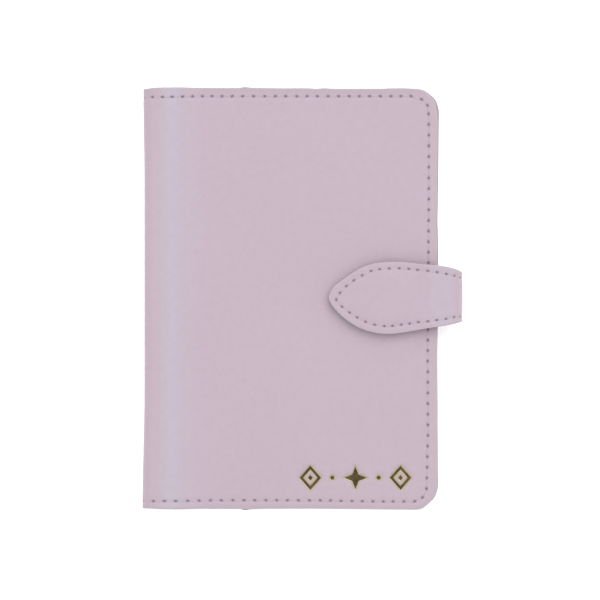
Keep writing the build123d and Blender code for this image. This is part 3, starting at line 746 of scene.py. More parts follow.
def cover_outline(u_cut, inset=0.0, front=True, step=0.45, trim=0.0):
    """Outline of a cover layer in flat coordinates, counter-clockwise, with the cut at u_cut. trim pares the fore-edge and its upper corner back."""
    e = outer_edge.copy()
    if not front:
        e[:, 1] = -e[::-1, 1]
        e[:, 0] = e[::-1, 0]
    t = np.gradient(e, axis=0)
    t = t / np.linalg.norm(t, axis=1, keepdims=True)
    n = np.column_stack([-t[:, 1], t[:, 0]])
    w = np.full(len(e), float(inset))
    if trim:
        right = ss(42.5, 46.5, e[:, 0])
        w = w + trim * right * (0.5 + 0.5 * ss(-30, 20, e[:, 1])) + trim * 0.75 * np.exp(-(((e[:, 1] - 63.5) / 2.8) ** 2)) * right
    side = e + n * w[:, None]
    side = side[side[:, 0] > u_cut + 0.25]
    side = resample(np.vstack([[(u_cut, side[0, 1])], side, [(u_cut, side[-1, 1])]]), step)
    cut = resample([(u_cut, side[-1, 1]), (u_cut, side[0, 1])], 1.6)
    return loop_of([side, cut], [True, False])


def ring_points(loop, free, insets):
    v = inset_vectors(loop, free)
    moving = np.linalg.norm(v, axis=1) > 0.5
    return np.vstack([(loop + v * e)[moving] for e in insets])


def grid_points(u0, u1, v0, v1, du, dv):
    a, b = np.arange(u0, u1, du), np.arange(v0, v1, dv)
    g = np.array([(x + (du * 0.5 if k % 2 else 0), y) for k, y in enumerate(b) for x in a])
    return g


SPINE_CUT = 0.5  # length of flat spine that belongs to each cover's sheet
U_CUT = XC - FOLD_R * math.pi / 2 - SPINE_CUT
seam_dense = catmull(np.array(SEAM_POINTS), 0.3)
HA, HB = 0.62, 0.34  # half length and half width of a stitch hole


def ornament():
    """The stamped ornament: list of (outer loop, inner loop or None), in x and y."""
    blo, bhi = node_box("foil_ornament")
    cy = (blo[1] + bhi[1]) / 2
    k = (bhi[0] - blo[0]) / 37.8
    x = lambda v: blo[0] + (v - 2.2) * k
    loz = lambda cx, a, b: np.array([(cx - a, cy), (cx, cy - b), (cx + a, cy), (cx, cy + b)])
    out = []
    for cx in (x(6.1), x(36.1)):
        out.append((loz(cx, 3.9, 4.4), loz(cx, 2.1, 2.4)))
        out.append((loz(cx, 1.1, 1.3), None))
    star = [(x(21.1) + r_ * math.cos(math.radians(90 + 45 * i)), cy + r_ * math.sin(math.radians(90 + 45 * i))) for i, r_ in enumerate([4.4, 1.75] * 4)]
    out.append((np.array(star), None))
    for cx in (x(13.4), x(28.8)):
        out.append((arc(cx, cy, 0.9, 0, 345, 24), None))
    return out


def refine(loop, step):
    c = np.vstack([loop, loop[:1]])
    parts = [resample(c[i : i + 2], step)[:-1] for i in range(len(c) - 1)]
    return np.vstack(parts)


def grow(loop, e):
    """Offsets a closed counter-clockwise loop outwards by e."""
    area = 0.5 * np.sum(loop[:, 0] * np.roll(loop[:, 1], -1) - np.roll(loop[:, 0], -1) * loop[:, 1])
    lp = loop if area > 0 else loop[::-1]
    v = inset_vectors(lp, np.ones(len(lp), bool))
    return lp - v * e


def in_loop(u, v, loop):
    ok = np.zeros(len(u), bool)
    for (xa, ya), (xb, yb) in zip(loop, np.roll(loop, -1, axis=0)):
        if ya != yb:
            hit = (ya > v) != (yb > v)
            ok ^= hit & (u < (xb - xa) * (v - ya) / (yb - ya) + xa)
    return ok


shapes = ornament()
STAMP = 0.13


def stamp_depth(u, v):
    d = np.zeros(len(u))
    near = (u > 0) & (u < 42) & (v < -50)
    if not near.any():
        return d
    uu, vv = u[near], v[near]
    dd = np.zeros(len(uu))
    for outer, inner in shapes:
        a = in_loop(uu, vv, grow(refine(outer, 0.3), 0.03))
        if inner is not None:
            a &= ~in_loop(uu, vv, grow(refine(inner, 0.3), -0.03))
        dd[a] = STAMP
    d[near] = dd
    return d


def cover_holes(seed, shift=0.0):
    pts = np.array(SEAM_POINTS) + np.random.default_rng(seed).normal(0, shift, (len(SEAM_POINTS), 2))
    return with_directions(pts, 0.13, seed)


CREST = XC + 2.6


def cover_top(holes, front):
    field = hole_field(holes, HA, HB)
    sign = 1 if front else -1

    def f(u, v):
        u, v = np.asarray(u, float), np.asarray(v, float)
        dist, _ = path_distance(np.column_stack([u, v]), seam_dense)
        d = 0.1 * np.exp(-((dist / 0.95) ** 2)) - 0.06 * np.exp(-(((dist - 1.9) / 0.9) ** 2))
        d = d + 0.62 * field(u, v)
        inner = ss(2.0, 9.0, np.minimum(np.minimum(X1 - u, Y1 - np.abs(v)), 40))
        d = d + (0.08 * rumple(u * sign + 7, v) + 0.01 * ripple(u, v * sign)) * inner * ss(XC, XC + 6, u)
        # the fold's crest stands a little proud, and the cover sinks behind it towards the pages
        ends = 0.35 + 0.65 * ss(0.5, 9.0, Y1 - np.abs(v))
        d = d + 0.1 * ss(CREST, CREST + 9, u) * (1 - ss(CREST + 14, CREST + 36, u)) * ends
        if front:
            d = d + stamp_depth(u, v)
        else:
            d = np.maximum(d, 0.0)  # this face lies flat on the surface below
        return np.minimum(d, 0.95)

    return f


def cover_extra(holes, front):
    field = hole_field(holes, HA * 0.92, HB * 0.95, 1.7)

    def f(u, v, d, wall):
        # painted shade in the stitch holes, kept as the hole attribute
        k = field(u, v) * (d < 1.05) * (wall < 0.3)
        wall2 = wall * ss(U_CUT + 0.02, U_CUT + 0.05, u)
        # painted highlight: a paler band of sheen along the fold's crest; painted shade: the roll beside it a little
        # darker
        tone = 0.35 * ss(-44.5, -42.5, u) * (1 - ss(-35, -28, u)) + 0.65 * ss(-42.8, -41.0, u) * (1 - ss(-39.2, -36.0, u))
        tone = tone - 0.16 * (1 - ss(-48.2, -45.2, u))
        # the border outside the seam is coloured a shade darker, least along the fore-edge
        d_edge, _ = path_distance(np.column_stack([u, v if front else -v]), outer_edge)
        tone = tone - (0.28 - 0.2 * ss(43.0, 46.0, u)) * (1 - ss(0.6, 2.3, d_edge))
        return {"hole": k, "wall": np.where(wall > 0.9, wall2 * 0.9, wall), "tone": tone if front else 0.4 * tone}

    return f


holes_front, holes_back = cover_holes(5), cover_holes(6, 0.08)
fold_cols = np.vstack([np.column_stack([np.full(52, c), np.linspace(-Y1 + 1.4, Y1 - 1.4, 52)]) for c in np.arange(U_CUT + 0.3, XC + 1.6, 0.36)])
T_COVER = Z1
covers = {}
for side, holes in (("front", holes_front), ("back", holes_back)):
    is_front = side == "front"
    loop, free = cover_outline(U_CUT, 0.0, is_front, trim=0.42 if is_front else 0.15)
    inner = [ring_points(loop, free, (0.75, 1.15, 1.55, 1.95, 2.35, 2.7, 3.1, 3.55, 4.1, 4.9, 6.0)),
             hole_points(holes, HA, HB), fold_cols, grid_points(XC + 2.6, X1 - 7, -Y1 + 7, Y1 - 7, 2.2, 2.2)]
    loops = []
    if is_front:
        for outer, hole_loop in shapes:
            o = refine(outer, 0.5)
            loops += [grow(o, 0.0), grow(o, 0.12)]
            if hole_loop is not None:
                q = refine(hole_loop, 0.5)
                loops += [grow(q, 0.0), grow(q, -0.12)]
    inner = np.vstack(inner)
    if is_front:
        # nothing from the plain grid inside or beside the stamped shapes
        ok = np.ones(len(inner), bool)
        for outer, _ in shapes:
            ok &= ~in_loop(inner[:, 0], inner[:, 1], grow(refine(outer, 0.5), 0.5))
        inner = inner[ok]
    ob = slab(f"{side}_cover_leather", loop, free, T_COVER, place_cover(is_front), rt=0.4, rb=0.15, top=cover_top(holes, is_front),
              inner=inner, inner_bottom=np.vstack([fold_cols[::2], grid_points(XC + 3, X1 - 4, -Y1 + 4, Y1 - 4, 8, 8)]), loops=loops, extra=cover_extra(holes, is_front))
    give(ob, m_cover)
    covers[side] = ob

# the spine's own sheet, between the two cuts
SPINE_A = float(np.interp(U_CUT, outer_edge[::-1, 0][:30], outer_edge[::-1, 1][:30]))  # height at the top of the front's cut
SPINE_B = -float(np.interp(U_CUT, outer_edge[:30, 0], outer_edge[:30, 1]))
spine_loop, spine_free = loop_of(
    [resample([(FOLD_R + SPINE_CUT, -SPINE_A), (H - FOLD_R - SPINE_CUT, -SPINE_B)], 0.45), resample([(H - FOLD_R - SPINE_CUT, -SPINE_B), (H - FOLD_R - SPINE_CUT, SPINE_A)], 1.6),
     resample([(H - FOLD_R - SPINE_CUT, SPINE_A), (FOLD_R + SPINE_CUT, SPINE_B)], 0.45), resample([(FOLD_R + SPINE_CUT, SPINE_B), (FOLD_R + SPINE_CUT, -SPINE_A)], 1.6)],
    [True, False, True, False])


def place_spine(u, v, d):
    return np.column_stack([X0 + np.asarray(d, float) + flare(v), v, u])


SEAM_V = (67.22, -67.2)
spine_holes = np.array([(z_, v_, 0.0) for v_ in SEAM_V for z_ in (H - 2.53, H / 2, 2.53)])
spine_field = hole_field(spine_holes, HA, HB)
spine_dark = hole_field(spine_holes, HA * 0.92, HB * 0.95, 1.7)


def spine_top(u, v):
    d = np.minimum(np.abs(v - SEAM_V[0]), np.abs(v - SEAM_V[1]))
    return 0.13 * np.exp(-((d / 0.95) ** 2)) + 0.62 * spine_field(u, v)


def spine_extra(u, v, d, wall):
    on_cut = (u < FOLD_R + SPINE_CUT + 0.02) | (u > H - FOLD_R - SPINE_CUT - 0.02)
    # painted shade: the whole spine face is coloured a little darker, as the roll beside the fold is; its hole
    # attribute is painted shade in the stitch holes
    return {"tone": np.full(len(u), -0.16), "hole": spine_dark(u, v) * (wall < 0.3), "wall": np.where(on_cut & (np.abs(v) < Y1 - 0.4), 0.0, wall * 0.9)}


spine = slab("spine_leather_sheet", spine_loop, spine_free, T_COVER, place_spine, rt=0.36, rb=0.15, top=spine_top,
             inner=np.vstack([ring_points(spine_loop, spine_free, (0.75, 1.15, 1.6, 2.0, 2.4, 2.75, 3.1, 3.6, 4.4)), hole_points(spine_holes, HA, HB), grid_points(4, H - 4, -Y1 + 5, Y1 - 5, 1.6, 2.0)]),
             inner_bottom=grid_points(4, H - 4, -Y1 + 4, Y1 - 4, 3, 5), extra=spine_extra)
give(spine, m_cover)

# ---------------------------------------------------------------- layers inside each cover
def lining_room(u):
    """Depth from the lining's seen face to the leather under it, where the board stops short of the fold."""
    a = np.clip((LX - np.asarray(u, float)) / LR, 0, math.pi / 2)
    out = np.full(a.shape, Z3 - Z1)
    for r in np.arange(LR + 0.3, LR + 2.2, 0.01):
        x, z = LX - r * np.sin(a), Z3 + LR - r * np.cos(a)
        arc_z = FOLD_R - np.sqrt(np.clip((FOLD_R - Z1) ** 2 - (XC - x) ** 2, 0, None))
        free_here = np.where(x >= XC, z > Z1, np.where(z >= FOLD_R, x > X0 + Z1, (z > arc_z) & (x > X0 + Z1)))
        out = np.where((a > 0) & free_here, r - LR, out) if r > LR + 0.3 else np.where(a > 0, 0.3, out)
    return out


def lining_bottom(u, v):
    """The lining is glued down over the end of the board, so it fills the corner behind the fold."""
    fill = np.clip(lining_room(u) - 0.08 - (Z3 - Z2 - 0.02), 0, 1.2)
    return -fill * (1 - ss(LX + 0.1, LX + 0.5, u))


ONE = {"hole": None}


def plain_extra(u, v, d, wall):
    return {"hole": np.zeros(len(u)), "wall": wall * 0.9}


def z_place(front, z):
    return place_flat(H - z, -1) if front else place_flat(z, 1)


layers = {}
for side in ("front", "back"):
    fr = side == "front"
    holes = holes_front if fr else holes_back
    # reinforcement board, seen only at the edges
    loop, free = cover_outline(XC + 1.0, 0.05, fr, 0.6)
    free[:] = True
    ob = slab(f"{side}_reinforcement", loop, free, Z2 - Z1 - 0.02, z_place(fr, Z2 - 0.01), rt=0.08, rb=0.08, extra=plain_extra,
              inner=grid_points(XC + 4, X1 - 3, -Y1 + 3, Y1 - 3, 9, 9), inner_bottom=grid_points(XC + 4, X1 - 3, -Y1 + 3, Y1 - 3, 9, 9))
    give(ob, m_core)
    layers[f"{side}_core"] = ob
    # lining, turned up the spine
    lcut = LX - LR * math.pi / 2 - 0.25
    loop, free = cover_outline(lcut, 0.08, fr, 0.7)
    lin_holes = holes[holes[:, 0] < MOUTH_X + 2]
    lf = hole_field(lin_holes, HA * 0.8, HB * 0.8) if len(lin_holes) else None

    def lining_top(u, v, lf=lf, fr=fr):
        d = 0.2 * lf(u, v)
        return d + 0.02 * ripple(u, v + (3 if fr else 0)) * ss(0.6, 4, Y1 - np.abs(v)) * ss(LX + 0.5, LX + 5, u) * (u < MOUTH_X + 1)

    lcols = np.vstack([np.column_stack([np.full(40, c), np.linspace(-Y1 + 1.6, Y1 - 1.6, 40)]) for c in np.arange(lcut + 0.25, LX + 1.2, 0.3)])
    lin_pts = np.vstack([lcols, hole_points(lin_holes, HA * 0.8, HB * 0.8), grid_points(LX + 1.6, MOUTH_X + 8, -Y1 + 2, Y1 - 2, 1.8, 1.8), grid_points(MOUTH_X + 10, X1 - 3, -Y1 + 3, Y1 - 3, 8, 8)])
    # the lining's hole attribute is painted shade in its stitch holes
    ob = slab(f"{side}_lining_sheet", loop, free, Z3 - Z2 - 0.02, place_lining(fr), rt=0.1, rb=0.08, top=lining_top, bottom=lining_bottom, inner=lin_pts,
              inner_bottom=np.vstack([lcols, grid_points(LX + 3, X1 - 3, -Y1 + 3, Y1 - 3, 9, 9)]),
              extra=lambda u, v, d, wall, lh=lin_holes: {"hole": hole_field(lh, HA * 0.7, HB * 0.7, 1.7)(u, v) * (wall < 0.3) * 0.8, "wall": wall * 0.9 * (u > lcut + 0.02)})
    give(ob, m_lining)
    layers[f"{side}_lining"] = ob
    # sewn border under the sleeve
    o_loop, _ = cover_outline(MOUTH_X + 0.2, 0.12, fr, 0.9)
    B = 5.0
    out_side = o_loop[o_loop[:, 0] > MOUTH_X + 0.21]
    start = np.array([[MOUTH_X + 0.2, out_side[0, 1]]])
    end = np.array([[MOUTH_X + 0.2, out_side[-1, 1]]])
    ri = 2.0
    inner_side = np.vstack([[(MOUTH_X + 0.2, Y1 - B)], [(X1 - B - ri, Y1 - B)], arc(X1 - B - ri, Y1 - B - ri, ri, 90, 0, 8)[1:], arc(X1 - B - ri, -Y1 + B + ri, ri, 0, -90, 8), [(MOUTH_X + 0.2, -Y1 + B)]])
    inner_side = resample(inner_side, 1.2)
    bl = np.vstack([start, out_side, end, inner_side])
    ob = slab(f"{side}_sleeve_border_strip", bl, np.ones(len(bl), bool), Z4 - Z3 - 0.02, z_place(fr, Z4 - 0.01), rt=0.08, rb=0.08, extra=plain_extra)
    give(ob, m_lining)
    layers[f"{side}_sleeve_border"] = ob
    # sleeve with its thumb notch
    o_loop, _ = cover_outline(MOUTH_X, 0.04, fr, 0.5)
    out_side = o_loop[o_loop[:, 0] > MOUTH_X + 0.01]
    cx, rr = MOUTH_X - 13.0 + 5.5, 13.0
    half = math.degrees(math.acos((MOUTH_X - cx) / rr))
    yn = rr * math.sin(math.radians(half))
    # notch corners are eased with a small fillet
    fil = 2.2
    th2 = math.radians(half) + 0.16
    notch = arc(cx, 0, rr, half - 9, -half + 9, 44)
    up = catmull([(MOUTH_X, yn + 3.2), (MOUTH_X + 0.25, yn + 1.1), notch[0]], 0.4)
    dn = catmull([notch[-1], (MOUTH_X + 0.25, -yn - 1.1), (MOUTH_X, -yn - 3.2)], 0.4)
    mouth = np.vstack([resample([(MOUTH_X, out_side[-1, 1]), (MOUTH_X, yn + 3.2)], 0.6)[:-1], up[:-1], resample(notch, 0.5)[:-1], dn[:-1], resample([(MOUTH_X, -yn - 3.2), (MOUTH_X, out_side[0, 1])], 0.6)])
    sl = np.vstack([out_side, mouth[:-1], mouth[-1:]])
    sl_free = np.ones(len(sl), bool)
    sh = holes[holes[:, 0] > MOUTH_X + 3]
    sf = hole_field(sh, HA * 0.85, HB * 0.85)
    # painted shade in the sleeve's stitch holes
    sfd = hole_field(sh, HA * 0.8, HB * 0.85, 1.7)
    mouth_dense = resample(mouth, 0.4)

    def sleeve_top(u, v, sf=sf, mouth_dense=mouth_dense, fr=fr):
        p = np.column_stack([u, v])
        dm, _ = path_distance(p, mouth_dense)
        ds, _ = path_distance(p, seam_dense)
        d = 0.1 * np.exp(-(((dm - 2.4) / 0.28) ** 2))
        d = d + 0.1 * np.exp(-((ds / 0.95) ** 2)) + 0.42 * sf(u, v)
        inner_ = ss(5.0, 12.0, np.minimum(X1 - u, Y1 - np.abs(v)))
        return d + inner_ * (0.05 * rumple(u + (20 if fr else 0), v)) + 0.05 * inner_

    mring = np.vstack([mouth_dense + np.array([k, 0]) for k in (0.7, 1.3, 1.8, 2.1, 2.25, 2.4, 2.55, 2.7, 3.0, 3.6, 4.6)])
    pts = np.vstack([ring_points(sl, sl_free, (0.8, 1.3, 1.8, 2.3, 2.7, 3.1, 3.6, 4.4, 5.6)), mring, hole_points(sh, HA * 0.85, HB * 0.85), grid_points(MOUTH_X + 7, X1 - 6, -Y1 + 6, Y1 - 6, 2.6, 2.6)])
    pts = np.unique(np.round(pts, 2), axis=0)
    ob = slab(f"{side}_sleeve_sheet", sl, sl_free, Z5 - Z4 - 0.02, z_place(fr, Z5), rt=0.26, rb=0.1, top=sleeve_top, inner=pts,
              inner_bottom=grid_points(MOUTH_X + 4, X1 - 5, -Y1 + 5, Y1 - 5, 9, 9), extra=lambda u, v, d, wall, sfd=sfd: {"hole": sfd(u, v) * (wall < 0.3), "wall": wall * 0.9})
    give(ob, m_sleeve)
    layers[f"{side}_sleeve"] = ob

# the lining's middle stretch, on the spine
lz = Z3 + LR + 0.25
ll, lfree = loop_of([resample([(lz, -Y1 + 0.12), (H - lz, -Y1 + 0.12)], 0.7), resample([(H - lz, -Y1 + 0.12), (H - lz, Y1 - 0.12)], 2.0),
                     resample([(H - lz, Y1 - 0.12), (lz, Y1 - 0.12)], 0.7), resample([(lz, Y1 - 0.12), (lz, -Y1 + 0.12)], 2.0)], [True, False, True, False])
spine_lining = slab("spine_lining_sheet", ll, lfree, Z3 - Z2 - 0.02, lambda u, v, d: np.column_stack([X0 + Z1 + 0.4 - np.asarray(d, float) + flare(v), v, u]), rt=0.1, rb=0.08,
                    inner=grid_points(lz + 0.5, H - lz, -Y1 + 2, Y1 - 2, 1.4, 2.2), extra=plain_extra)
give(spine_lining, m_lining)

# ---------------------------------------------------------------- cover threads
threads = {}
for side, holes in (("front", holes_front), ("back", holes_back)):
    fr = side == "front"
    base_top = cover_top(np.zeros((0, 3)), fr)
    outer = thread_runs(f"{side}_seam_outside", holes, place_cover(fr), base_top, 0.62)
    on_sleeve = holes[holes[:, 0] > MOUTH_X + 1.5]
    inner_z = z_place(fr, Z5)
    split = [h for h in range(len(on_sleeve))]
    inside_runs = thread_runs(f"{side}_seam_inside", on_sleeve, inner_z, lambda u, v: np.full(len(u), 0.06), 0.5, r=0.17, apart=0.14)
    near_spine = holes[holes[:, 0] <= MOUTH_X + 1.5]
    near_spine = near_spine[near_spine[:, 0] > LX + 0.6]
    top_part, bot_part = near_spine[near_spine[:, 1] > 0], near_spine[near_spine[:, 1] < 0]
    lining_runs = [thread_runs(f"{side}_lining_seam_{k}", part, place_lining(fr), lambda u, v: np.full(len(u), 0.02), 0.24, r=0.13, apart=0.1) for k, part in enumerate((top_part, bot_part))]
    for ob in [outer, inside_runs] + lining_runs:
        give(ob, m_thread)
    threads[side] = (outer, inside_runs, lining_runs)
spine_thread = thread_runs("spine_seam", spine_holes, place_spine, lambda u, v: np.full(len(u), 0.13), 0.62, skip=(2,))
give(spine_thread, m_thread)

# ---------------------------------------------------------------- foil ornament
foil_v, foil_f, foil_rim_highlight = [], [], []
surf = cover_top(np.zeros((0, 3)), True)
for outer, hole_loop in shapes:
    o = refine(outer, 0.45)
    loops_in = [grow(o, -0.1), grow(o, -0.22), grow(o, -0.34)]
    edge_in, edge_out = [], []
    if hole_loop is not None:
        q = refine(hole_loop, 0.45)
        loops_in += [grow(q, 0.0), grow(q, 0.1), grow(q, 0.22), grow(q, 0.34)]
    v, f, _ = triangulate(grow(o, 0.02), [], loops_in)
    if hole_loop is not None:
        f = [t for t in f if not in_loop(*v[list(t)].mean(0)[:, None], grow(q, -0.01))[0]]
    dist = path_distance(v, resample(np.vstack([grow(o, 0.02), grow(o, 0.02)[:1]]), 0.05))[0]
    if hole_loop is not None:
        dist = np.minimum(dist, path_distance(v, resample(np.vstack([grow(q, 0.0), grow(q, 0.0)[:1]]), 0.05))[0])
    rim = 1 - ss(0.015, 0.1, dist)
    # painted highlight: the foil's rims are coloured pale, kept as the rim attribute
    rim_highlight = 1 - ss(0.12, 0.3, dist)
    under = surf(v[:, 0], v[:, 1])
    flat_d = np.where(under < STAMP * 0.6, under, under - STAMP)
    depth = flat_d + STAMP * (1 - rim) - 0.03
    n = len(v)
    base = sum(len(x) for x in foil_v)
    foil_v += [np.column_stack([v, H - depth]), np.column_stack([v, H - depth - 0.03])]
    foil_rim_highlight += [rim_highlight, rim_highlight]
    edge_count = set()
    for t in f:
        edge_count |= {(t[0], t[1]), (t[1], t[2]), (t[2], t[0])}
    fs = [tuple(base + i for i in t) for t in f] + [tuple(base + n + i for i in reversed(t)) for t in f]
    for a_, b_ in edge_count:
        if (b_, a_) not in edge_count:
            fs.append((base + a_, base + n + a_, base + n + b_, base + b_))
    foil_f += fs
foil_v = np.vstack(foil_v)
used = np.unique([i for f in foil_f for i in f])
renum = {int(o): i for i, o in enumerate(used)}
foil = make_object("stamped_foil", foil_v[used], outward(foil_v[used], [tuple(renum[int(i)] for i in f) for f in foil_f]), {"rim": np.concatenate(foil_rim_highlight)[used]}, 60)
give(foil, m_foil)

# ---------------------------------------------------------------- strap and tab
TAB_TIP = (12.2, 0.6)
TAB_TOP = [(12.95, 2.8), (14.1, 4.4), (16.1, 5.95), (18.1, 7.4), (20.1, 8.75), (22.1, 9.95), (24.1, 10.9), (26.1, 11.55), (28.1, 12.0), (30.1, 12.25), (32.1, 12.38), (34.1, 12.4), (36.1, 12.34),
           (38.1, 12.2), (40.1, 11.98), (42.1, 11.75), (44.1, 11.55), (46.1, 11.38), (48.75, 11.15), (51.4, 10.8), (54.0, 10.2)]
TAB_BOT = [(12.95, -1.6), (14.1, -3.15), (16.1, -5.25), (18.1, -6.9), (20.1, -8.3), (22.1, -9.4), (24.1, -10.2), (26.1, -10.8), (28.1, -11.25), (30.1, -11.5), (32.1, -11.55), (34.1, -11.45), (36.1, -11.2),
           (38.1, -10.88), (40.1, -10.52), (42.1, -10.15), (44.1, -9.8), (46.1, -9.47), (48.75, -9.1), (51.4, -8.72), (54.0, -8.25)]
U_ROOT = LOOP_X + LOOP_R * math.pi + (LOOP_X - TAIL_X)


def along_strap(points):
    """Turns x seen from above into the flat coordinate that goes round the loop."""
    return [(x if x <= LOOP_X else LOOP_X + LOOP_R * math.asin((x - LOOP_X) / LOOP_R), y) for x, y in points]


top_pts = along_strap(TAB_TOP) + [(58.5, 9.3), (61, 8.9), (66.0, 8.5), (72.0, 8.35), (80.0, 8.3), (U_ROOT, 8.3)]
bot_pts = along_strap(TAB_BOT) + [(58.5, -7.65), (61, -7.6), (66.0, -7.45), (72.0, -7.3), (80.0, -7.3), (U_ROOT, -7.3)]
whole = catmull(bot_pts[::-1] + [TAB_TIP] + top_pts, 0.3)
tip_at = int(np.argmin(whole[:, 0]))
top_side, bot_side = whole[tip_at:], whole[: tip_at + 1][::-1]
cut_at = [LOOP_X + LOOP_R * math.radians(a) for a in (45, 90, 135)]


def side_y(side, u):
    return np.interp(u, side[:, 0], side[:, 1])


def strap_section(i):
    """Outline of strap piece i, from the tab (0) to the root (3), counter-clockwise."""
    if i == 0:
        t = top_side[top_side[:, 0] < cut_at[0] - 0.2]
        b = bot_side[bot_side[:, 0] < cut_at[0] - 0.2]
        ct, cb = side_y(top_side, cut_at[0]), side_y(bot_side, cut_at[0])
        lower = np.vstack([b, [(cut_at[0], cb)]])
        upper = np.vstack([[(cut_at[0], ct)], t[::-1]])
        return loop_of([lower, resample([(cut_at[0], cb), (cut_at[0], ct)], 1.0), upper], [True, False, True])
    a = cut_at[i - 1]
    b = cut_at[i] if i < 3 else U_ROOT
    us = np.linspace(a, b, max(6, int((b - a) / 0.42)))
    lower = np.column_stack([us, side_y(bot_side, us)])
    upper = np.column_stack([us[::-1], side_y(top_side, us[::-1])])
    return loop_of([lower, resample([lower[-1], upper[0]], 1.0), upper, resample([upper[-1], lower[0]], 1.0)], [True, i == 3, True, False])


# the stitch holes of the strap: along the lower side from the root, round the tip and back
SEAM_LOW = [(53.89, -5.96), (51.14, -6.54), (47.97, -6.96), (45.03, -7.38), (41.9, -7.64), (39.0, -8.1), (36.25, -8.48), (33.31, -8.87), (30.6, -8.94), (27.4, -8.48), (24.42, -7.53), (21.63, -6.08),
            (19.07, -4.44), (16.59, -2.53)]
SEAM_UP = [(15.94, 2.05), (18.04, 4.31), (20.49, 6.21), (23.27, 7.86), (26.21, 9.31), (29.08, 9.92), (32.24, 10.15), (35.57, 10.22), (38.73, 10.03), (41.67, 9.69), (45.03, 9.38), (48.09, 8.89),
           (51.22, 8.35), (54.0, 7.78)]
ROUND_LOW = [(70.3, -5.6), (67.1, -5.65), (63.9, -5.7), (60.7, -5.75), (57.5, -5.85)]
ROUND_UP = [(57.7, 7.2), (60.9, 6.85), (64.0, 6.65), (67.1, 6.5), (70.3, 6.4)]
strap_pts_seam = ROUND_LOW + along_strap(SEAM_LOW) + [(14.72, -0.2)] + along_strap(SEAM_UP) + ROUND_UP
strap_seam = catmull(strap_pts_seam, 0.3)
strap_holes = with_directions(strap_pts_seam, 0.06, 31)
SHA, SHB = 0.52, 0.33
strap_field = hole_field(strap_holes, SHA, SHB)
# painted shade in the strap's stitch holes
strap_dark = hole_field(strap_holes, SHA * 0.92, SHB * 0.95, 1.7)


def strap_top(u, v):
    d, _ = path_distance(np.column_stack([u, v]), strap_seam)
    out = 0.15 * np.exp(-((d / 0.85) ** 2)) + 0.5 * strap_field(u, v)
    edge_d = np.minimum(side_y(top_side, u) - v, v - side_y(bot_side, u))
    out = out - 0.05 * np.exp(-(((edge_d - 1.1) / 0.7) ** 2)) * (u < LOOP_X + 8)
    return np.minimum(out + 0.03 * rumple(u * 1.5, v * 1.5 + 9) * ss(3, 6, edge_d), 0.8)


def strap_extra(u, v, d, wall):
    on_cut = np.zeros(len(u), bool)
    for c in cut_at:
        on_cut |= np.abs(u - c) < 0.01
    edge_d = np.minimum(side_y(top_side, u) - v, v - side_y(bot_side, u))
    # painted highlight: a paler band of sheen where the strap starts over the loop; painted shade: darker round the
    # bend
    tone = 0.55 * ss(44.6, 47.4, u) * (1 - ss(LOOP_X + 3.0, LOOP_X + 6.0, u)) - 0.22 * ss(LOOP_X + 3.5, LOOP_X + 8.0, u) * (1 - ss(LOOP_X + 12.0, LOOP_X + 16.0, u))
    return {"hole": strap_dark(u, v) * (wall < 0.3) * (d < 0.9), "wall": np.where(on_cut & (edge_d > 0.35), 0.0, wall * 0.9), "tone": tone}


def backing_top(u, v):
    d, _ = path_distance(np.column_stack([u, v]), strap_seam)
    return 0.1 * np.exp(-((d / 0.8) ** 2)) + 0.36 * strap_field(u, v)


def place_backing(u, v, d):
    """The backing's depth 0 is the face towards the cover."""
    return place_strap(u, v, T_OUT + T_LIN - np.asarray(d, float))


strap_cols = np.vstack([np.column_stack([np.full(14, c), np.linspace(-6.6, 7.6, 14)]) for c in np.arange(LOOP_X - 1, LOOP_X + LOOP_R * math.pi + 1.2, 0.36)])
strap_pts = np.vstack([strap_cols, hole_points(strap_holes, SHA, SHB), grid_points(14, LOOP_X - 1, -11, 12, 0.9, 0.9), grid_points(LOOP_X + LOOP_R * math.pi + 1, U_ROOT, -7, 8, 1.2, 1.2)])
near, _ = path_distance(strap_pts, strap_seam)
pivots = [joint_pos(f"strap_fold_{k}") for k in (1, 2, 3, 4)]  # from the cover's edge to the tab
names = ["back_cover", "strap_link_1", "strap_link_2", "strap_link_3", "strap_tab"]


def strap_bodies(i):
    """Bodies and transition of strap piece i, counted from the tab."""
    fold = 3 - i  # piece 0 holds fold 4, piece 3 holds fold 1
    p = pivots[fold]
    # direction of travel along the strap at this fold, from the root side to the tab side
    radial = np.array([p[0] - LOOP_X, 0, p[2] - LOOP_Z])
    radial /= np.linalg.norm(radial)
    tangent = np.array([-radial[2], 0, radial[0]])
    return names[fold], names[fold + 1], (p - tangent * 1.9) * MM, (p + tangent * 1.9) * MM


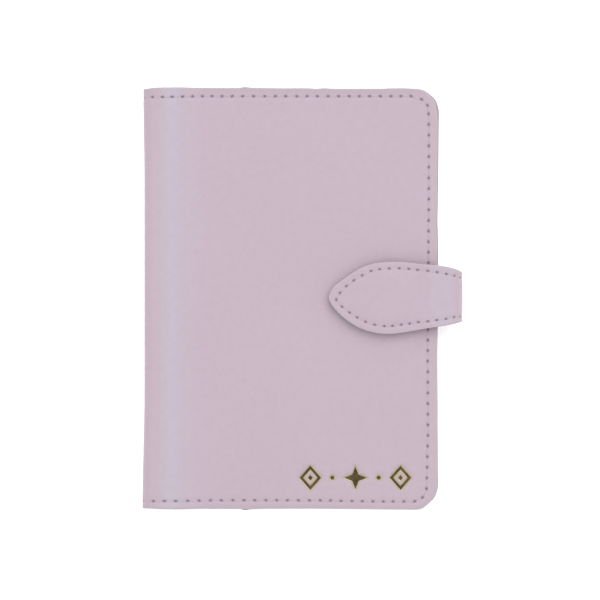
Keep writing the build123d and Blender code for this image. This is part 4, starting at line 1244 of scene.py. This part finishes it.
strap_parts, backing_parts = [], []
labels = ["tab", "bend_upper", "bend_middle", "root"]
for i in range(4):
    loop, free = strap_section(i)
    rings = ring_points(loop, free, (0.6, 0.95, 1.3, 1.65, 2.0, 2.35, 2.7, 3.1, 3.6, 4.3))
    pts = np.vstack([rings, strap_pts])

    def root_bottom(u, v):
        return 0.22 * ss(LOOP_X + LOOP_R * math.pi + 0.2, LOOP_X + LOOP_R * math.pi + 1.0, u)

    ob = slab(f"strap_{labels[i]}_leather", loop, free, T_OUT, place_strap, rt=0.34, rb=0.12, top=strap_top, bottom=root_bottom if i == 3 else None, inner=pts,
              inner_bottom=np.vstack([strap_cols[::2], grid_points(14, LOOP_X, -11, 12, 3, 3)]), extra=strap_extra)
    give(ob, m_strap)
    strap_parts.append(ob)
    if i == 3:
        # the backing stops at the cover's edge
        stop = LOOP_X + LOOP_R * math.pi + (LOOP_X - X1) - 0.25
        us = np.linspace(cut_at[2], stop, 16)
        lower = np.column_stack([us, side_y(bot_side, us)])
        upper = np.column_stack([us[::-1], side_y(top_side, us[::-1])])
        loop, free = loop_of([lower, resample([lower[-1], upper[0]], 1.0), upper, resample([upper[-1], lower[0]], 1.0)], [True, True, True, False])
        rings = ring_points(loop, free, (0.6, 1.3, 2.0, 2.7, 3.6))
    bk = slab(f"strap_{labels[i]}_backing", loop, free, T_LIN - 0.01, place_backing, rt=0.22, rb=0.12, top=backing_top, inner=np.vstack([rings, strap_pts]),
              inner_bottom=strap_cols[::2], extra=lambda u, v, d, wall: {**strap_extra(u, v, d, wall), "tone": np.zeros(len(u))})
    give(bk, m_backing)
    backing_parts.append(bk)

strap_base = lambda u, v: np.full(len(u), 0.15)
strap_thread = []
bounds_u = [(-1e9, cut_at[0]), (cut_at[0], cut_at[1]), (cut_at[1], cut_at[2]), (cut_at[2], 1e9)]
for i, (a, b) in enumerate(bounds_u):
    runs = []
    mids = (strap_holes[:-1, 0] + strap_holes[1:, 0]) / 2
    skip = tuple(int(k) for k in range(len(strap_holes) - 1) if not (a <= mids[k] < b))
    if len(skip) == len(strap_holes) - 1:
        continue
    outer = thread_runs(f"strap_{labels[i]}_seam", strap_holes, place_strap, strap_base, 0.52, skip=skip, r=0.17, apart=0.15)
    back_ = thread_runs(f"strap_{labels[i]}_seam_under", strap_holes, place_backing, lambda u, v: np.full(len(u), 0.08), 0.42, skip=skip, r=0.14, apart=0.12)
    for ob in (outer, back_):
        give(ob, m_thread)
    strap_thread.append((i, outer, back_))

# the box of stitches that holds the strap's tail, on the back cover
ah = 5.8
ax0, ax1 = TAIL_X + 2.0, X1 - 6.0
anchor_path = resample([(ax1, 0.5 + ah), (ax0, 0.5 + ah), (ax0, 0.5 - ah), (ax1, 0.5 - ah)], 0.2)
anchor_holes = holes_along(anchor_path, 3.0, 0.2, 0.0, 0.06, 40)


# ---------------------------------------------------------------- snap
def lathe(name, prof, cx, cy, n=72):
    """Turns a closed (radius, z) profile about a vertical axis."""
    prof = np.asarray(prof, float)
    verts, faces = [], []
    m = len(prof)
    for i in range(n):
        a = 2 * math.pi * i / n
        for r_, z in prof:
            verts.append((cx + r_ * math.cos(a), cy + r_ * math.sin(a), z))
    for i in range(n):
        j = (i + 1) % n
        for k_ in range(m):
            l_ = (k_ + 1) % m
            if prof[k_, 0] < 1e-6 and prof[l_, 0] < 1e-6:
                continue
            faces.append((i * m + k_, j * m + k_, j * m + l_, i * m + l_))
    import bmesh

    me = bpy.data.meshes.new(name)
    me.from_pydata((np.array(verts) * MM).tolist(), [], faces)
    bm = bmesh.new()
    bm.from_mesh(me)
    bmesh.ops.remove_doubles(bm, verts=bm.verts, dist=1e-7)
    bmesh.ops.recalc_face_normals(bm, faces=bm.faces)
    bm.to_mesh(me)
    bm.free()
    me.polygons.foreach_set("use_smooth", np.ones(len(me.polygons), bool))
    me.set_sharp_from_angle(angle=math.radians(50))
    ob = bpy.data.objects.new(name, me)
    bpy.context.scene.collection.objects.link(ob)
    return ob


def rounded(points, r, n=5):
    """Rounds the corners of a closed (radius, z) profile. r is one radius for each point."""
    p = np.asarray(points, float)
    out = []
    for i in range(len(p)):
        a, b, c = p[i - 1], p[i], p[(i + 1) % len(p)]
        if r[i] <= 0:
            out.append(b[None])
            continue
        d1, d2 = (a - b) / np.linalg.norm(a - b), (c - b) / np.linalg.norm(c - b)
        t = np.linspace(0, 1, n)[:, None]
        p0, p2 = b + d1 * r[i], b + d2 * r[i]
        out.append((1 - t) ** 2 * p0 + 2 * t * (1 - t) * b + t**2 * p2)
    return np.vstack(out)


cap_top = SNAP_TOP
cap = lathe("snap_cap", rounded([(SNAP_R - 0.35, H + 0.01), (SNAP_R, H + 0.01), (SNAP_R, cap_top), (2.7, cap_top), (2.7, cap_top - 0.42), (SNAP_R - 0.35, cap_top - 0.42)],
                                [0, 0.08, 0.55, 0.22, 0.05, 0.3], 6), SNAP_X, SNAP_Y)
give(cap, m_nickel)
stud_lo, stud_hi = node_box("snap_stud")
sz = H + 1.85
stud = lathe("snap_stud_plate", rounded([(0, TAB_Z0 - 0.005), (6.5, TAB_Z0 - 0.005), (6.5, sz), (5.9, sz - 0.0), (5.5, sz + 0.12), (2.7, sz + 0.12), (2.2, sz), (2.2, stud_lo[2]), (0, stud_lo[2])],
                                     [0, 0.1, 0.18, 0.05, 0.05, 0.1, 0.15, 0.4, 0], 6), SNAP_X, SNAP_Y)
give(stud, m_nickel)

# ---------------------------------------------------------------- riding, and hiding the CAD parts that are replaced
for ob in (covers["back"], layers["back_lining"]):
    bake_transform(ob)
for ob in (covers["front"], layers["front_lining"]):
    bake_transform(ob)
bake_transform(threads["back"][0])
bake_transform(threads["front"][0])
for side, body in (("back", "back_cover"), ("front", "front_cover")):
    for key in ("core", "sleeve_border", "sleeve"):
        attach(layers[f"{side}_{key}"], body)
        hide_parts(f"{side}_{key}")
    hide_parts(f"{side}_lining")
    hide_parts(f"{side}_leather")
    outer, ins, lr = threads[side]
    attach(ins, body)
    for ob in lr:
        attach(ob, body)
    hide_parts(f"{side}_edge_thread")
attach(spine, "spine")
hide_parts("spine_leather")
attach(spine_lining, "spine")
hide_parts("spine_lining")
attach(spine_thread, "spine")
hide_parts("spine_thread")
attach(foil, "front_cover")
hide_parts("foil_ornament")
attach(cap, "front_cover")
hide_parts("snap_socket_cap")
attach(stud, "strap_tab")
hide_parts("snap_stud")
for i in range(4):
    a, b, s, e = strap_bodies(i)
    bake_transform(strap_parts[i])
    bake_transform(backing_parts[i])
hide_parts("strap_tab_outer", "strap_loop_3_outer")
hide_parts("strap_loop_2_outer")
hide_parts("strap_loop_1_outer")
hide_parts("strap_tail")
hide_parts("strap_tab_lining", "strap_loop_3_lining")
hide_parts("strap_loop_2_lining")
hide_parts("strap_loop_1_lining")
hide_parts("strap_root_lining")
for i, outer, back_ in strap_thread:
    a, b, s, e = strap_bodies(i)
    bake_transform(outer)
    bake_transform(back_)
    if i == 0:
        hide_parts("strap_tab_thread", "strap_loop_3_thread")
    elif i == 1:
        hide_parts("strap_loop_2_thread")
    elif i == 2:
        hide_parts("strap_loop_1_thread")

anchor = thread_runs("strap_anchor_seam", anchor_holes, place_cover(False), lambda u, v: np.full(len(u), 0.1), 0.55, r=0.17, apart=0.15)
give(anchor, m_thread)
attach(anchor, "back_cover")
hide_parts("strap_anchor_thread")

# hidden metal keeps its CAD shape
for n, m in (("snap_magnet", m_magnet), ("snap_socket_base", m_steel), ("snap_socket_washer", m_steel), ("snap_stud_washer", m_steel)):
    ob = frame["nodes"][n]
    ob.data.materials.clear()
    ob.data.materials.append(m)

# ---------------------------------------------------------------- floor, light, camera
bpy.ops.mesh.primitive_plane_add(size=6.0, location=(0, 0, -0.00013))
floor = bpy.context.object
floor.name = "floor"
fm, fnt, fb = mat("floor_paper")
fb.inputs["Base Color"].default_value = (0.93, 0.93, 0.93, 1)
fb.inputs["Roughness"].default_value = 0.9
fb.inputs["Specular IOR Level"].default_value = 0.1
fb.inputs["Emission Color"].default_value = (1, 1, 1, 1)
fb.inputs["Emission Strength"].default_value = 0.42
give(floor, fm)


def area(name, loc, target, size, power, color=(1, 1, 1)):
    l = bpy.data.lights.new(name, "AREA")
    l.shape = "DISK"
    l.size = size
    l.energy = power
    l.color = color
    ob = bpy.data.objects.new(name, l)
    bpy.context.scene.collection.objects.link(ob)
    ob.location = loc
    ob.rotation_euler = (Vector(target) - Vector(loc)).to_track_quat("-Z", "Y").to_euler()
    return ob


area("key", (0.5, 1.1, 1.8), (0, 0, 0), 2.1, 20.0)
area("fill", (-1.2, -0.5, 1.8), (0, 0, 0), 2.2, 7.0)
world = bpy.data.worlds.new("studio")
bpy.context.scene.world = world
world.use_nodes = True
world.node_tree.nodes["Background"].inputs[0].default_value = (1, 1, 1, 1)
world.node_tree.nodes["Background"].inputs[1].default_value = 0.81

cam_data = bpy.data.cameras.new("camera")
cam = bpy.data.objects.new("camera", cam_data)
bpy.context.scene.collection.objects.link(cam)
distance = 1.2
cam.location = (0.00266, -0.00027, H * MM + distance)
cam.rotation_euler = (0, 0, 0)
cam_data.sensor_width = 36.0
cam_data.lens = 36.0 * distance / (600 / 3.007 * MM)
cam_data.clip_end = 20
bpy.context.scene.camera = cam
bpy.context.scene.view_settings.view_transform = "Standard"
bpy.context.scene.view_settings.look = "None"
bpy.context.scene.view_settings.exposure = 0.0
